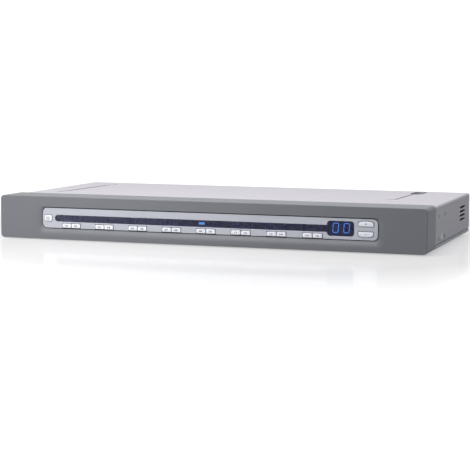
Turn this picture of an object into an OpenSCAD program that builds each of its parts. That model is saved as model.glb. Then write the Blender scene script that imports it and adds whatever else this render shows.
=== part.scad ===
// Rack-height KVM switch with sixteen computer ports.
// Origin: centre of the footprint, on the surface the feet stand on.
// +X is to the right of a person facing the control panel, +Y runs to the back, +Z is up.

/* [Case] */
// Width across the front bezel
bezel_w = 440; // [438:1:444]
// Height of the front bezel
bezel_h = 43.2; // [43:0.1:45]
// Depth from the bezel's face to the rear wall
case_d = 226; // [224:1:245]
// How far the bezel wraps back to meet the metal case
bezel_wrap = 39; // [38:0.5:41]
// Height of the rubber feet
foot_h = 2.2; // [2:0.1:3]
// Thickness of the sheet steel
sheet_t = 1; // [0.8:0.1:1.1]

/* [Control panel] */
// Width of the silver control panel
panel_w = 345.8; // [344:0.1:348]
// Height of the silver control panel
panel_h = 20; // [19.8:0.1:20.6]
// Distance between the centres of neighbouring button pairs
pair_pitch = 35.84; // [35.4:0.02:36]
// Width of one port button's cap
cap_w = 9.2; // [8.8:0.1:9.3]
// Height of one port button's cap
cap_h = 4.1; // [3.9:0.1:4.2]
// How far a button stands out of the panel at rest
button_proud = 0.9; // [0.8:0.1:1.2]

/* [Rear] */
// Width of one computer port, centre to centre
port_pitch = 13.97; // [13.8:0.01:14.1]
// How far the D-shaped connector shells stand out of the rear wall
shell_proud = 5.9; // [5:0.1:6.5]
// Width of each mains pin in the power inlet
inlet_pin_w = 2; // [1.8:0.1:2.1]

/* [Hidden] */

$fn = 48;
arc_steps = 8;
cut = 1;               // how far a cutting shape runs past the face it opens
touch_gap = 0.05;      // gap between parts that meet without being pressed together

// Bezel and panel depths, measured back from the bezel's face
bezel_wall = 2.2;
front_wall_t = 3.6;
bezel_corner_r = 4;
panel_recess = 0.8;
panel_t = 1.2;
panel_corner_r = 4.5;
panel_gap = 0.7;
pocket_d = panel_recess + panel_t;
lens_gap = 0.15;
lens_recess = 0.1;
lens_rest = 0.65;      // width of the ledge the lens rests on, above and below the strip
window_rest = [2, 0.4];
cap_gap = 0.5;
bank_gap = 0.6;
cap_r = 0.5;
flange_t = 1;
flange_lip = 1.2;
flange_side = 0.15;
stem_r = 1.4;
board_d = 10.5;
board_t = 1.6;
control_half_w = 176;
control_h0 = 4.6;
control_h1 = 38.6;
mat_t = 1;
dome_h = 2.5;
dome_r = 2.6;

// Where the case sits
front_over = max(0, button_proud - panel_recess);
front_y = front_over - (front_over + case_d + shell_proud) / 2;
rear_y = front_y + case_d;
bezel_drop = 1.2;
bezel_step = 1.4;
side_step = 0.5;
bezel_z0 = foot_h - bezel_drop;
case_z0 = foot_h;
case_top = bezel_z0 + bezel_h - bezel_step;
case_half_w = bezel_w / 2 - side_step;
case_d0 = bezel_wrap + 0.4;
fold_gap = 0.1;
seam_h = 4.4;
cover_corner_r = 2.5;

function fy(d) = front_y + d;
function ry(d) = rear_y - d;
function bz(h) = bezel_z0 + h;

// Front controls: heights above the bezel's lower edge and places across the panel
panel_mid_h = 21.55;
cap_mid_h = 14.15;
cap_pitch = 10;
pair_shift = 15.8;      // how far left of the middle the row of pairs is centred
pair_w = cap_pitch + cap_w + 2 * cap_gap;
strip_mid_h = 21.35;
strip_h = 6.5;
strip_x0 = -159.4;
window_x = 137;
window_w = 26;
window_h = 14.2;
window_mid_h = 21.7;
window_r = 3;
digit_pitch = 10.6;
digit_mid_h = 22.1;
reset_x = -166.8;
reset_w = 8.1;
reset_h = 6.1;
reset_r = 1.4;
reset_mid_h = 21.3;
bank_x = 161.6;
bank_mid_h = 21.9;
bank_w = 14.6;
bank_h = 4.9;
bank_sagitta = 1.3;
bank_outer_r = 1.8;
bank_inner_r = 0.8;
bank_offset = 5.05;

function pair_x(pair) = (pair - 3.5) * pair_pitch - pair_shift;
function port_x(port) = pair_x(floor((port - 1) / 2)) + ((port - 1) % 2 - 0.5) * cap_pitch;

// Places of the screws that hold the bezel, the boards and the cover
boss_root = 1;         // how far each boss runs into the bezel's front wall
bezel_boss_r = 3.6;
bezel_boss_x = bezel_w / 2 - 20;
bezel_boss_h = [12, 33];
board_boss_r = 2.6;
board_boss_x = [-168, -56, 56, 168];
board_boss_h = [7.4, 35.5];
m3_r = 1.45;
m3_hole_r = 1.5;
m3_clear_r = 1.7;
m3_head_r = 2.75;
m3_head_h = 1.9;
m3_sink_h = 0.9;
m3_sink_slope = m3_head_r + 0.1 - m3_clear_r;
tapping_r = 1.15;
tapping_hole_r = 1.2;
tapping_clear_r = 1.4;
tapping_head_r = 2.3;
tapping_head_h = 1.5;
tapping_l = 7;
tapping_hole_l = tapping_l - 0.5;
bezel_screw_l = 11;
bezel_hole_l = bezel_screw_l + 1;
board_screw_l = 5;
side_screw_l = 6;
rear_screw_l = 5;

// Rack bracket holes and side screw
bracket_mid_d = 72.6;
bracket_mid_h = 20.4;
bracket_dy = 30;
bracket_dz = 21.5;
bracket_hole_r = 2;
side_screw_h = 10.4;
cover_tab_x = [-165, 10, 132];
cover_tab_w = 12;
cover_tab_h = 8;
tab_screw_drop = cover_tab_h - 3.2;
tab_screw_z = case_top - sheet_t - tab_screw_drop;

// Edges of the tray's side walls and of the openings in its ends
ear_margin_h = 4;
ear_margin_d = 8;
lip_margin_h = 3.5;
corner_notch_d = 2.5;
corner_notch_h = 2;
opening_gap = 0.2;

// Vents
vent_mid_d = 185;
vent_l = 30;
vent_h = 2.2;
vent_pitch = 4.25;
vent_mid_h = 23.9;
rear_vent_x0 = -196;
rear_vent_pitch = 4.5;
rear_vent_l = 22;
rear_vent_w = 2.2;
rear_vent_last = 7;

// Marks pressed into the cover; points are [x, depth behind the bezel's face]
mark_depth = 0.5;
mark_end_extra = 0.1;
left_groove = [[-193, 80], [-188, 96], [-184, 183]];
left_groove_w = 3;
left_pits = [[-182.8, 187], [-181.4, 201]];
left_pit_r = 2.6;
left_pit_depth = 0.8;
right_groove = [[158, 104], [164.5, 112], [167.5, 186]];
right_groove_w = 2;
dimple_x = 169.5;
dimple_d0 = 184;
dimple_d1 = 220;
dimple_w = 13.5;
dimple_depth = 2.2;
dimple_skin = 0.8;

// Boards inside the case
floor_z = case_z0 + sheet_t;
standoff_h = 5;
standoff_r = 3;
main_z0 = floor_z + standoff_h;
main_top = main_z0 + board_t;
main_x0 = -212;
main_x1 = 133;
main_d0 = 62;
main_rear_gap = 4;
main_screw_x_front = [-205, -40, 126];
main_screw_x_rear = [-205, -16, 128.5];
main_screw_d = 68;
rear_screw_gap = 12;
power_x0 = 138;
power_x1 = 212;
power_d0 = 72;
power_rear_gap = 44;
power_screw_inset = 5;
main_screw_places = concat(
    [for (x = main_screw_x_front) [x, fy(main_screw_d)]],
    [for (x = main_screw_x_rear) [x, ry(rear_screw_gap)]]);
power_screw_places = [
    for (x = [power_x0 + power_screw_inset, power_x1 - power_screw_inset],
        y = [fy(power_d0 + power_screw_inset), ry(power_rear_gap + power_screw_inset)]) [x, y]];
board_screw_places = concat(main_screw_places, power_screw_places);

// Flat cable between the two boards
ribbon_x = -20;
ribbon_w = 25;
ribbon_t = 0.9;
ribbon_h = 21;
ribbon_bend_r = 6;
ribbon_slot_w = 32;
ribbon_slot_h = 10;
header_w = 27;
header_t = 6;
main_header_d = 66;

// Parts on the main board
chip_w = 14;
chip_h = 1.6;
chip_x0 = -185;
chip_pitch = 26;
chip_d = [108, 138];
processor_w = 24;
processor_h = 2.4;
heat_x = 60;
heat_y = fy(120);
heat_w = 28;
heat_base_t = 2;
heat_h = 11;
heat_fin_t = 1.4;
heat_fin_last = 7;
small_cap_r = 3.15;
small_cap_h = 8;
small_cap_x0 = -180;
small_cap_pitch = 42;
small_cap_d = 88;

// Parts on the power board
transformer_x = 177;
transformer_d = 127;
core_w = 30;
core_l = 26;
core_t = 5;
winding_w = 22;
winding_l = 30;
winding_h = 14;
mains_cap = [150, 155];
mains_cap_r = 8;
mains_cap_h = 24;
output_cap_x0 = 156;
output_cap_pitch = 14;
output_cap_d = 92;
output_cap_r = 5;
output_cap_h = 16;

// Computer port jacks: two blocks, each two rows of four
block_x = [-122, -52];
block_w = 4 * port_pitch + 0.5;
block_h = 27.6;
block_l = 25;
block_proud = 0.6;
shield_t = 0.35;
jack_row_h = [6.7, 20.9];
jack_w = 11.8;
jack_h = 8.2;
jack_l = 14;
latch_w = [6.2, 3.4];
latch_h = [1.5, 2.6];
contact_pitch = 1.02;
contact_w = 0.46;
contact_t = 0.3;
contact_l = 9;
contact_sunk = 0.2;
insert_recess = 0.2;
latch_overlap = 0.5;

// Console connectors
video_x = 108;
video_shell_w = 16.9;
video_flange_w = 30.8;
video_screw_gap = 24.99;
chain_x = 18;
chain_shell_w = 39;
chain_flange_w = 53;
chain_screw_gap = 47.04;
d_shell_h = 8.4;
d_flange_h = 12.5;
d_body_l = 13;
d_body_h = 11;
d_skin = 0.6;
d_flange_t = 0.8;
d_insert_gap = 0.15;
d_insert_recess = 0.6;
d_body_inset = 6.5;
d_corner_r = 2.2;
d_slant = 0.75;
d_mid_h = 6.6;
jackscrew_af = 4.8;
jackscrew_l = 5;
jackscrew_hole_r = 1.2;
jackscrew_thread_r = 1.4;
jackscrew_clear_r = 1.5;
jackscrew_thread_l = 5;
jackscrew_x = [for (jack = [[video_x, video_screw_gap], [chain_x, chain_screw_gap]], s = [-0.5, 0.5])
    jack[0] + s * jack[1]];
mouse_x = 80;
din_w = 14;
din_h = 12.8;
din_l = 13;
din_well_r = 4.75;
din_post_r = 3.4;
din_well_l = 7;
din_proud = 0.8;
din_post_recess = 0.4;
din_key_w = 2.2;
din_key_drop = [3.6, 1.9];
usb_x = 58;
usb_w = 13.1;
usb_h = 15.6;
usb_l = 17;
usb_slot_w = 12.3;
usb_slot_h = 5.3;
usb_slot_l = 12;
usb_row_h = [4.2, 11.4];
usb_tongue_w = 11;
usb_tongue_h = 1.9;
usb_tongue_recess = 1.5;
usb_proud = 0.8;

// Mains inlet and power switch
mains_z = 22.5;
inlet_x = 188;
inlet_body_w = 27.4;
inlet_body_h = 19.8;
inlet_body_l = 19;
inlet_flange_w = 31;
inlet_flange_h = 24;
inlet_flange_t = 2.5;
inlet_flange_r = 2;
inlet_well_w = 24.2;
inlet_well_h = 16;
inlet_well_l = 15.5;
inlet_well_chamfer = 5;
inlet_pin_h = 4;
inlet_pin_gap = 7;
inlet_pin_z = -2;
inlet_earth_z = 2.2;
inlet_tab_l = 7;
inlet_pin_recess = 0.5;

// The three mains pins: live, earth and neutral
inlet_pin_places = [[-inlet_pin_gap, inlet_pin_z], [0, inlet_earth_z], [inlet_pin_gap, inlet_pin_z]];
rocker_x = 157;
rocker_w = 10.6;
rocker_half_h = 8.2;
rocker_tilt = 8;
rocker_crown = 0.6;
rocker_pivot_in = 1.5;
rocker_pin_r = 1.2;
rocker_pin_l = 0.7;
rocker_pin_gap = 0.06;
frame_wall = 1.7;
frame_well_half_h = 9;
frame_well_w = rocker_w + 0.3;
frame_well_l = 11;
frame_flange_t = 2;
frame_body_l = 18;
frame_body_w = frame_well_w + 2 * frame_wall;
frame_body_half_h = frame_well_half_h + 0.9;
frame_lip = 1.3;
frame_lip_r = 1;
rocker_pivot_y = ry(rocker_pivot_in - frame_flange_t);
rocker_toe_in = 1.6;
rocker_keel = [2.5, 4];

// ---------------------------------------------------------------- shared shapes

// A box from one corner to the other
module block(x0, x1, y0, y1, z0, z1) {
    translate([x0, y0, z0]) cube([x1 - x0, y1 - y0, z1 - z0]);
}

// A rod along Y, Z or X
module rod_y(x, z, r, y0, y1) {
    translate([x, y1, z]) rotate([90, 0, 0]) cylinder(r = r, h = y1 - y0);
}

module rod_z(x, y, r, z0, z1) {
    translate([x, y, z0]) cylinder(r = r, h = z1 - z0);
}

module rod_x(y, z, r, x0, x1) {
    translate([x0, y, z]) rotate([0, 90, 0]) cylinder(r = r, h = x1 - x0);
}

// An outline drawn in X and Z, made solid from depth y0 back to y1
module slab(y0, y1) {
    translate([0, y1, 0]) rotate([90, 0, 0]) linear_extrude(y1 - y0) children();
}

// An outline drawn in Y and Z, made solid across X from x0 to x1
module strip_x(x0, x1) {
    translate([x0, 0, 0]) rotate([90, 0, 90]) linear_extrude(x1 - x0) children();
}

module rounded_rect(w, h, r) {
    square([w - 2 * r, h], center = true);
    square([w, h - 2 * r], center = true);
    for (sx = [-1, 1], sy = [-1, 1])
        translate([sx * (w / 2 - r), sy * (h / 2 - r)]) circle(r);
}

// A slot with round ends, lying along X
module obround(length, width) {
    square([length - width, width], center = true);
    for (s = [-1, 1]) translate([s * (length - width) / 2, 0]) circle(width / 2);
}

// Cross recess in a screw head, cut from the origin down
module cross_recess(r) {
    for (a = [0, 90]) rotate(a) translate([-r, -r / 4, -r / 2]) cube([2 * r, r / 2, r]);
}

// A pan-head screw with its head's underside at the origin and its shaft going down
module screw(r, length, head_r, head_h) {
    difference() {
        union() {
            translate([0, 0, -length]) cylinder(r = r, h = length + head_h / 2);
            cylinder(r = head_r, h = head_h * 0.6);
            translate([0, 0, head_h * 0.6]) cylinder(r1 = head_r, r2 = head_r * 0.72, h = head_h * 0.4);
        }
        translate([0, 0, head_h]) cross_recess(head_r * 0.5);
    }
}

// A countersunk screw with the face of its head at the origin and its shaft going down
module flat_screw(r, length, head_r, head_h) {
    difference() {
        union() {
            translate([0, 0, -length]) cylinder(r = r, h = length - head_h / 2);
            translate([0, 0, -head_h]) cylinder(r1 = r, r2 = head_r, h = head_h);
        }
        cross_recess(head_r * 0.5);
    }
}

// ---------------------------------------------------------------- front bezel and panel

module panel_outline(grow) {
    translate([0, bz(panel_mid_h)])
        rounded_rect(panel_w + 2 * grow, panel_h + 2 * grow, panel_corner_r + grow);
}

// The lens outline: a long strip that runs into the number window
module lens_outline(grow) {
    strip_x1 = window_x;
    translate([(strip_x0 + strip_x1) / 2, bz(strip_mid_h)])
        obround(strip_x1 - strip_x0 + 2 * grow, strip_h + 2 * grow);
    translate([window_x, bz(window_mid_h)])
        rounded_rect(window_w + 2 * grow, window_h + 2 * grow, window_r + grow);
}

// Points along an arc from angle a to angle b; skip leaves out that many points at each end
function arc(centre, r, a, b, skip = 0) = [
    for (k = [skip : arc_steps - skip])
        centre + r * [cos(a + (b - a) * k / arc_steps), sin(a + (b - a) * k / arc_steps)]];

// A bank button: flat on the inner side and arched on the outer side
module bank_outline(side, grow) {
    arch_r = (bank_w * bank_w / 4 + bank_sagitta * bank_sagitta) / (2 * bank_sagitta);
    arch_z = bank_h / 2 - arch_r;
    outer_x = bank_w / 2 - bank_outer_r;
    outer_z = arch_z + sqrt(pow(arch_r - bank_outer_r, 2) - outer_x * outer_x);
    outer_a = atan2(outer_z - arch_z, outer_x);
    inner_x = bank_w / 2 - bank_inner_r;
    inner_z = bank_inner_r - bank_h / 2;
    translate([bank_x, bz(bank_mid_h) + side * bank_offset]) rotate(side > 0 ? 0 : 180)
        polygon(concat(
            arc([inner_x, inner_z], bank_inner_r + grow, -90, 0),
            arc([outer_x, outer_z], bank_outer_r + grow, 0, outer_a),
            arc([0, arch_z], arch_r + grow, outer_a, 180 - outer_a, skip = 1),
            arc([-outer_x, outer_z], bank_outer_r + grow, 180 - outer_a, 180),
            arc([-inner_x, inner_z], bank_inner_r + grow, 180, 270)));
}

module reset_outline(grow) {
    translate([reset_x, bz(reset_mid_h)])
        rounded_rect(reset_w + 2 * grow, reset_h + 2 * grow, reset_r + grow);
}

// The hole that a pair of port buttons shares; it is open at the panel's lower edge
module pair_outline(pair, depth_down) {
    top_h = cap_mid_h + cap_h / 2 + cap_gap;
    bottom_h = cap_mid_h - cap_h / 2 - depth_down;
    translate([pair_x(pair) - pair_w / 2, bz(bottom_h)]) square([pair_w, top_h - bottom_h]);
}

module front_bezel() {
    boss_y0 = fy(front_wall_t - boss_root);
    color([0.47, 0.48, 0.49]) difference() {
        union() {
            difference() {
                slab(fy(0), fy(bezel_wrap))
                    translate([0, bz(bezel_h / 2)]) rounded_rect(bezel_w, bezel_h, bezel_corner_r);
                slab(fy(front_wall_t), fy(bezel_wrap + cut))
                    translate([0, bz(bezel_h / 2)]) rounded_rect(
                        bezel_w - 2 * bezel_wall, bezel_h - 2 * bezel_wall, bezel_corner_r - bezel_wall);
            }
            for (s = [-1, 1], h = bezel_boss_h)
                rod_y(s * bezel_boss_x, bz(h), bezel_boss_r, boss_y0, fy(case_d0 - touch_gap));
            for (x = board_boss_x, h = board_boss_h)
                rod_y(x, bz(h), board_boss_r, boss_y0, fy(board_d - touch_gap));
        }
        slab(fy(-cut), fy(pocket_d)) panel_outline(panel_gap);
        slab(fy(0), fy(front_wall_t + cut)) {
            for (pair = [0 : 7]) {
                pair_outline(pair, cap_gap);
                translate([pair_x(pair), bz(strip_mid_h)])
                    square([pair_w, strip_h - 2 * lens_rest], center = true);
            }
            translate([window_x, bz(window_mid_h)])
                square([window_w - 2 * window_rest[0], window_h - 2 * window_rest[1]], center = true);
            reset_outline(cap_gap);
            for (side = [-1, 1]) bank_outline(side, bank_gap);
        }
        for (s = [-1, 1], h = bezel_boss_h)
            rod_y(s * bezel_boss_x, bz(h), m3_hole_r, fy(case_d0 - bezel_hole_l), fy(case_d0 + cut));
        for (x = board_boss_x, h = board_boss_h)
            rod_y(x, bz(h), tapping_hole_r, fy(board_d - tapping_hole_l), fy(board_d + cut));
    }
}

module trim_panel() {
    color([0.75, 0.76, 0.79]) slab(fy(panel_recess), fy(pocket_d)) difference() {
        panel_outline(0);
        lens_outline(lens_gap);
        for (pair = [0 : 7]) pair_outline(pair, cap_h);
        reset_outline(cap_gap);
        for (side = [-1, 1]) bank_outline(side, bank_gap);
    }
}

module display_lens() {
    color([0.13, 0.12, 0.2]) slab(fy(panel_recess + lens_recess), fy(pocket_d)) lens_outline(0);
}

// ---------------------------------------------------------------- buttons

// A cap of the given outline, with a rear flange that keeps it in and a stem that
// pushes on the rubber dome behind it
module sprung_button(x, h, w, tall) {
    flange_y = fy(front_wall_t + touch_gap);
    color([0.88, 0.89, 0.92]) union() {
        slab(fy(panel_recess - button_proud), flange_y + flange_t / 2) children();
        block(x - w / 2 - flange_side, x + w / 2 + flange_side, flange_y, flange_y + flange_t,
            bz(h) - tall / 2 - flange_lip, bz(h) + tall / 2 + flange_lip);
        rod_y(x, bz(h), stem_r, flange_y, fy(board_d - mat_t - dome_h - touch_gap));
    }
}

module port_button(port) {
    sprung_button(port_x(port), cap_mid_h, cap_w, cap_h)
        translate([port_x(port), bz(cap_mid_h)]) rounded_rect(cap_w, cap_h, cap_r);
}

module bank_up_button() {
    sprung_button(bank_x, bank_mid_h + bank_offset, bank_w, bank_h) bank_outline(1, 0);
}

module bank_down_button() {
    sprung_button(bank_x, bank_mid_h - bank_offset, bank_w, bank_h) bank_outline(-1, 0);
}

module reset_button() {
    sprung_button(reset_x, reset_mid_h, reset_w, reset_h) reset_outline(0);
}

// One rubber dome over its switch contacts
module key_dome(x, h) {
    web_y = fy(board_d - mat_t);
    translate([x, web_y, bz(h)]) rotate([90, 0, 0])
        cylinder(r1 = dome_r, r2 = stem_r, h = dome_h);
}

// A flat stretch of the mat, from its lower edge up to height h1
module mat_strip(x0, x1, h1) {
    mat_h0 = 11;
    block(x0, x1, fy(board_d - mat_t), fy(board_d), bz(mat_h0), bz(h1));
}

// One silicone mat carries every dome
module keypad_mat() {
    lobe_w = 11;
    row_h1 = cap_mid_h + 3.2;
    neck_h1 = cap_mid_h - 0.6;
    reset_h1 = reset_mid_h + 4.2;
    bank_h1 = bank_mid_h + bank_offset + 4.2;
    color([0.3, 0.31, 0.33]) union() {
        mat_strip(reset_x - lobe_w / 2, port_x(16) + lobe_w / 2, row_h1);
        mat_strip(port_x(16), bank_x + lobe_w / 2, neck_h1);
        mat_strip(reset_x - lobe_w / 2, reset_x + lobe_w / 2, reset_h1);
        mat_strip(bank_x - lobe_w / 2, bank_x + lobe_w / 2, bank_h1);
        for (port = [1 : 16]) key_dome(port_x(port), cap_mid_h);
        key_dome(reset_x, reset_mid_h);
        for (side = [-1, 1]) key_dome(bank_x, bank_mid_h + side * bank_offset);
    }
}

// ---------------------------------------------------------------- control board

// One layer of a port's rectangular lamp, from depth d0 back to the board
module lamp_block(port, w, h, d0) {
    x = port_x(port);
    z = bz(strip_mid_h);
    block(x - w / 2, x + w / 2, fy(d0), fy(board_d), z - h / 2, z + h / 2);
}

module port_leds() {
    lamp_w = 5;
    lamp_h = 2.2;
    rim = 0.4;
    rim_t = 1;
    lamp_tip_d = 3;
    for (port = [1 : 16]) color([0.55, 0.75, 1]) union() {
        lamp_block(port, lamp_w, lamp_h, lamp_tip_d);
        lamp_block(port, lamp_w + 2 * rim, lamp_h + 2 * rim, board_d - rim_t);
    }
}

module digit_display() {
    module_w = 2 * digit_pitch;
    module_h = 12.8;
    face_d = 3.8;
    bar_l = 3.4;
    bar_w = 0.8;
    bar_step = 4.4;
    bar_sunk = 0.3;
    y0 = fy(face_d);
    difference() {
        color([0.1, 0.1, 0.13])
            block(window_x - module_w / 2, window_x + module_w / 2, y0, fy(board_d),
                bz(digit_mid_h) - module_h / 2, bz(digit_mid_h) + module_h / 2);
        color([0.3, 0.5, 1]) for (s = [-1, 1])
            translate([window_x + s * digit_pitch / 2, y0 - cut, bz(digit_mid_h)]) {
                for (row = [-1, 0, 1])
                    translate([-bar_l / 2, 0, row * bar_step - bar_w / 2])
                        cube([bar_l, cut + bar_sunk, bar_w]);
                for (side = [-1, 1], row = [-1, 1])
                    translate([(side * bar_step - bar_w) / 2, 0, (row * bar_step - bar_l) / 2])
                        cube([bar_w, cut + bar_sunk, bar_l]);
            }
    }
}

module control_board() {
    color([0.1, 0.35, 0.2]) difference() {
        block(-control_half_w, control_half_w, fy(board_d), fy(board_d + board_t),
            bz(control_h0), bz(control_h1));
        for (x = board_boss_x, h = board_boss_h)
            rod_y(x, bz(h), tapping_clear_r, fy(board_d - cut), fy(board_d + board_t + cut));
    }
}

module control_board_screws() {
    color([0.7, 0.7, 0.68]) for (x = board_boss_x, h = board_boss_h)
        translate([x, fy(board_d + board_t), bz(h)]) rotate([-90, 0, 0])
            screw(tapping_r, tapping_l, tapping_head_r, tapping_head_h);
}

// ---------------------------------------------------------------- cable between the boards

module ribbon_headers() {
    color([0.1, 0.1, 0.1]) {
        block(ribbon_x - header_w / 2, ribbon_x + header_w / 2,
            fy(board_d + board_t), fy(board_d + board_t + header_t),
            bz(ribbon_h) - header_t / 2, bz(ribbon_h) + header_t / 2);
        block(ribbon_x - header_w / 2, ribbon_x + header_w / 2,
            fy(main_header_d), fy(main_header_d + header_t), main_top, main_top + header_t);
    }
}

// A flat cable that runs straight back and turns down into the main board's header
module ribbon_cable() {
    start_y = fy(board_d + board_t + header_t);
    bend_y = fy(main_header_d + header_t / 2 - ribbon_bend_r);
    bend_z = bz(ribbon_h) - ribbon_bend_r;
    drop = bend_z - (main_top + header_t);
    color([0.62, 0.63, 0.66]) strip_x(ribbon_x - ribbon_w / 2, ribbon_x + ribbon_w / 2) union() {
        translate([start_y, bz(ribbon_h) - ribbon_t / 2]) square([bend_y - start_y, ribbon_t]);
        translate([bend_y, bend_z]) intersection() {
            difference() {
                circle(ribbon_bend_r + ribbon_t / 2);
                circle(ribbon_bend_r - ribbon_t / 2);
            }
            square(2 * ribbon_bend_r);
        }
        translate([bend_y + ribbon_bend_r - ribbon_t / 2, bend_z - drop]) square([ribbon_t, drop]);
    }
}

// ---------------------------------------------------------------- steel case

module bracket_holes(r, x0, x1) {
    for (sy = [-1, 1], sz = [-1, 1])
        rod_x(fy(bracket_mid_d) + sy * bracket_dy / 2, bz(bracket_mid_h) + sz * bracket_dz / 2, r, x0, x1);
}

// Holes in the rear wall, one for each connector
module rear_openings() {
    y0 = ry(sheet_t + cut);
    y1 = ry(-cut);
    slab(y0, y1) {
        for (x = block_x) opening(x, main_top + block_h / 2, block_w, block_h);
        translate([video_x, main_top + d_mid_h]) d_outline(video_shell_w, opening_gap);
        translate([chain_x, main_top + d_mid_h]) d_outline(chain_shell_w, opening_gap);
        opening(mouse_x, main_top + din_h, din_w, 2 * din_h);
        opening(usb_x, main_top + usb_h / 2, usb_w, usb_h);
        opening(inlet_x, mains_z, inlet_body_w, inlet_body_h);
        opening(rocker_x, mains_z, frame_body_w, 2 * frame_body_half_h);
        for (i = [0 : rear_vent_last]) translate([rear_vent_x0 + rear_vent_pitch * i, mains_z])
            rotate(90) obround(rear_vent_l, rear_vent_w);
    }
    for (x = jackscrew_x) rod_y(x, main_top + d_mid_h, jackscrew_clear_r, y0, y1);
    for (x = cover_tab_x) rod_y(x, tab_screw_z, m3_clear_r, y0, y1);
}

// A rectangular opening a little larger than the connector that goes through it
module opening(x, z, w, h) {
    translate([x, z]) square([w + 2 * opening_gap, h + 2 * opening_gap], center = true);
}

// The tray's front or rear wall; its upper corners follow the bends of the cover
module tray_end(y0, y1, half_w, top) {
    height = top - case_z0;
    slab(y0, y1) {
        translate([0, case_z0 + height / 2])
            rounded_rect(2 * half_w, height, cover_corner_r - sheet_t);
        translate([-half_w, case_z0]) square([2 * half_w, height / 2]);
    }
}

module chassis_tray() {
    inner_x = case_half_w - sheet_t - fold_gap;
    wall_top = case_top - sheet_t - fold_gap;
    ear_top = bz(bracket_mid_h + bracket_dz / 2 + ear_margin_h);
    ear_back = fy(bracket_mid_d + bracket_dy / 2 + ear_margin_d);
    lip_top = bz(side_screw_h + lip_margin_h);
    color([0.62, 0.64, 0.67]) difference() {
        union() {
            block(-case_half_w, case_half_w, fy(case_d0), ry(0), case_z0, floor_z);
            tray_end(fy(case_d0), fy(case_d0 + sheet_t), inner_x, wall_top);
            tray_end(ry(sheet_t), ry(0), inner_x, wall_top);
            for (s = [-1, 1]) mirror([s < 0 ? 1 : 0, 0, 0]) {
                block(inner_x - sheet_t, case_half_w, fy(case_d0), ry(0), case_z0, bz(seam_h) - fold_gap);
                block(inner_x - sheet_t, inner_x, fy(case_d0), ry(0), case_z0, lip_top);
                block(inner_x - sheet_t, inner_x, fy(case_d0), ear_back, case_z0, ear_top);
            }
        }
        rear_openings();
        block(ribbon_x - ribbon_slot_w / 2, ribbon_x + ribbon_slot_w / 2,
            fy(case_d0 - cut), fy(case_d0 + sheet_t + cut),
            bz(ribbon_h - ribbon_slot_h / 2), bz(ribbon_h + ribbon_slot_h / 2));
        for (s = [-1, 1], h = bezel_boss_h) rod_y(s * bezel_boss_x, bz(h), m3_clear_r,
            fy(case_d0 - cut), fy(case_d0 + sheet_t + cut));
        for (s = [-1, 1]) mirror([s < 0 ? 1 : 0, 0, 0]) {
            bracket_holes(bracket_hole_r, inner_x - sheet_t - cut, inner_x + cut);
            rod_x(fy(bracket_mid_d), bz(side_screw_h), m3_hole_r, inner_x - sheet_t - cut, inner_x + cut);
            block(inner_x + fold_gap, case_half_w + cut, ry(corner_notch_d), ry(-cut),
                bz(seam_h - corner_notch_h), bz(seam_h + cut));
        }
    }
}

// A shallow groove pressed into the cover along a chain of straight runs,
// with its round ends and corners a little wider than the runs
module groove(points, width) {
    z0 = case_top - mark_depth;
    for (i = [0 : len(points) - 2]) {
        run = points[i + 1] - points[i];
        translate([points[i][0], fy(points[i][1]), z0]) rotate(atan2(run[1], run[0]))
            translate([0, -width / 2, 0]) cube([norm(run), width, mark_depth + cut]);
    }
    for (p = points) rod_z(p[0], fy(p[1]), width / 2 + mark_end_extra, z0, case_top + cut);
}

// The long oval dimple near the cover's rear edge
module dimple(grow, z0, z1) {
    translate([dimple_x, fy((dimple_d0 + dimple_d1) / 2), z0]) linear_extrude(z1 - z0)
        rotate(90) obround(dimple_d1 - dimple_d0 + 2 * grow, dimple_w + 2 * grow);
}

module cover_skin_outline(inset) {
    half_w = case_half_w - inset;
    translate([0, case_top - inset - bezel_h / 2])
        rounded_rect(2 * half_w, bezel_h, cover_corner_r - inset);
}

module top_cover() {
    color([0.86, 0.85, 0.87]) difference() {
        union() {
            slab(fy(case_d0), ry(0)) intersection() {
                difference() {
                    cover_skin_outline(0);
                    cover_skin_outline(sheet_t);
                }
                translate([-bezel_w / 2, bz(seam_h)]) square([bezel_w, bezel_h]);
            }
            dimple(dimple_skin, case_top - dimple_depth - dimple_skin, case_top - sheet_t / 2);
            for (x = cover_tab_x)
                block(x - cover_tab_w / 2, x + cover_tab_w / 2, ry(2 * sheet_t + fold_gap),
                    ry(sheet_t + fold_gap), case_top - sheet_t - cover_tab_h, case_top - sheet_t / 2);
        }
        dimple(0, case_top - dimple_depth, case_top + cut);
        groove(left_groove, left_groove_w);
        for (p = left_pits) rod_z(p[0], fy(p[1]), left_pit_r, case_top - left_pit_depth, case_top + cut);
        groove(right_groove, right_groove_w);
        for (x = cover_tab_x) rod_y(x, tab_screw_z, m3_hole_r, ry(2 * sheet_t + cut), ry(0));
        for (s = [-1, 1]) mirror([s < 0 ? 1 : 0, 0, 0]) {
            bracket_holes(bracket_hole_r, case_half_w - sheet_t - cut, case_half_w + cut);
            rod_x(fy(bracket_mid_d), bz(side_screw_h), m3_clear_r,
                case_half_w - sheet_t - cut, case_half_w);
            translate([case_half_w - m3_sink_h, fy(bracket_mid_d), bz(side_screw_h)]) rotate([0, 90, 0])
                cylinder(r1 = m3_clear_r, r2 = m3_clear_r + 2 * m3_sink_slope, h = 2 * m3_sink_h);
            for (i = [-1.5 : 1 : 1.5]) strip_x(case_half_w - sheet_t - cut, case_half_w + cut)
                translate([fy(vent_mid_d), bz(vent_mid_h) + i * vent_pitch]) obround(vent_l, vent_h);
        }
    }
}

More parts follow.
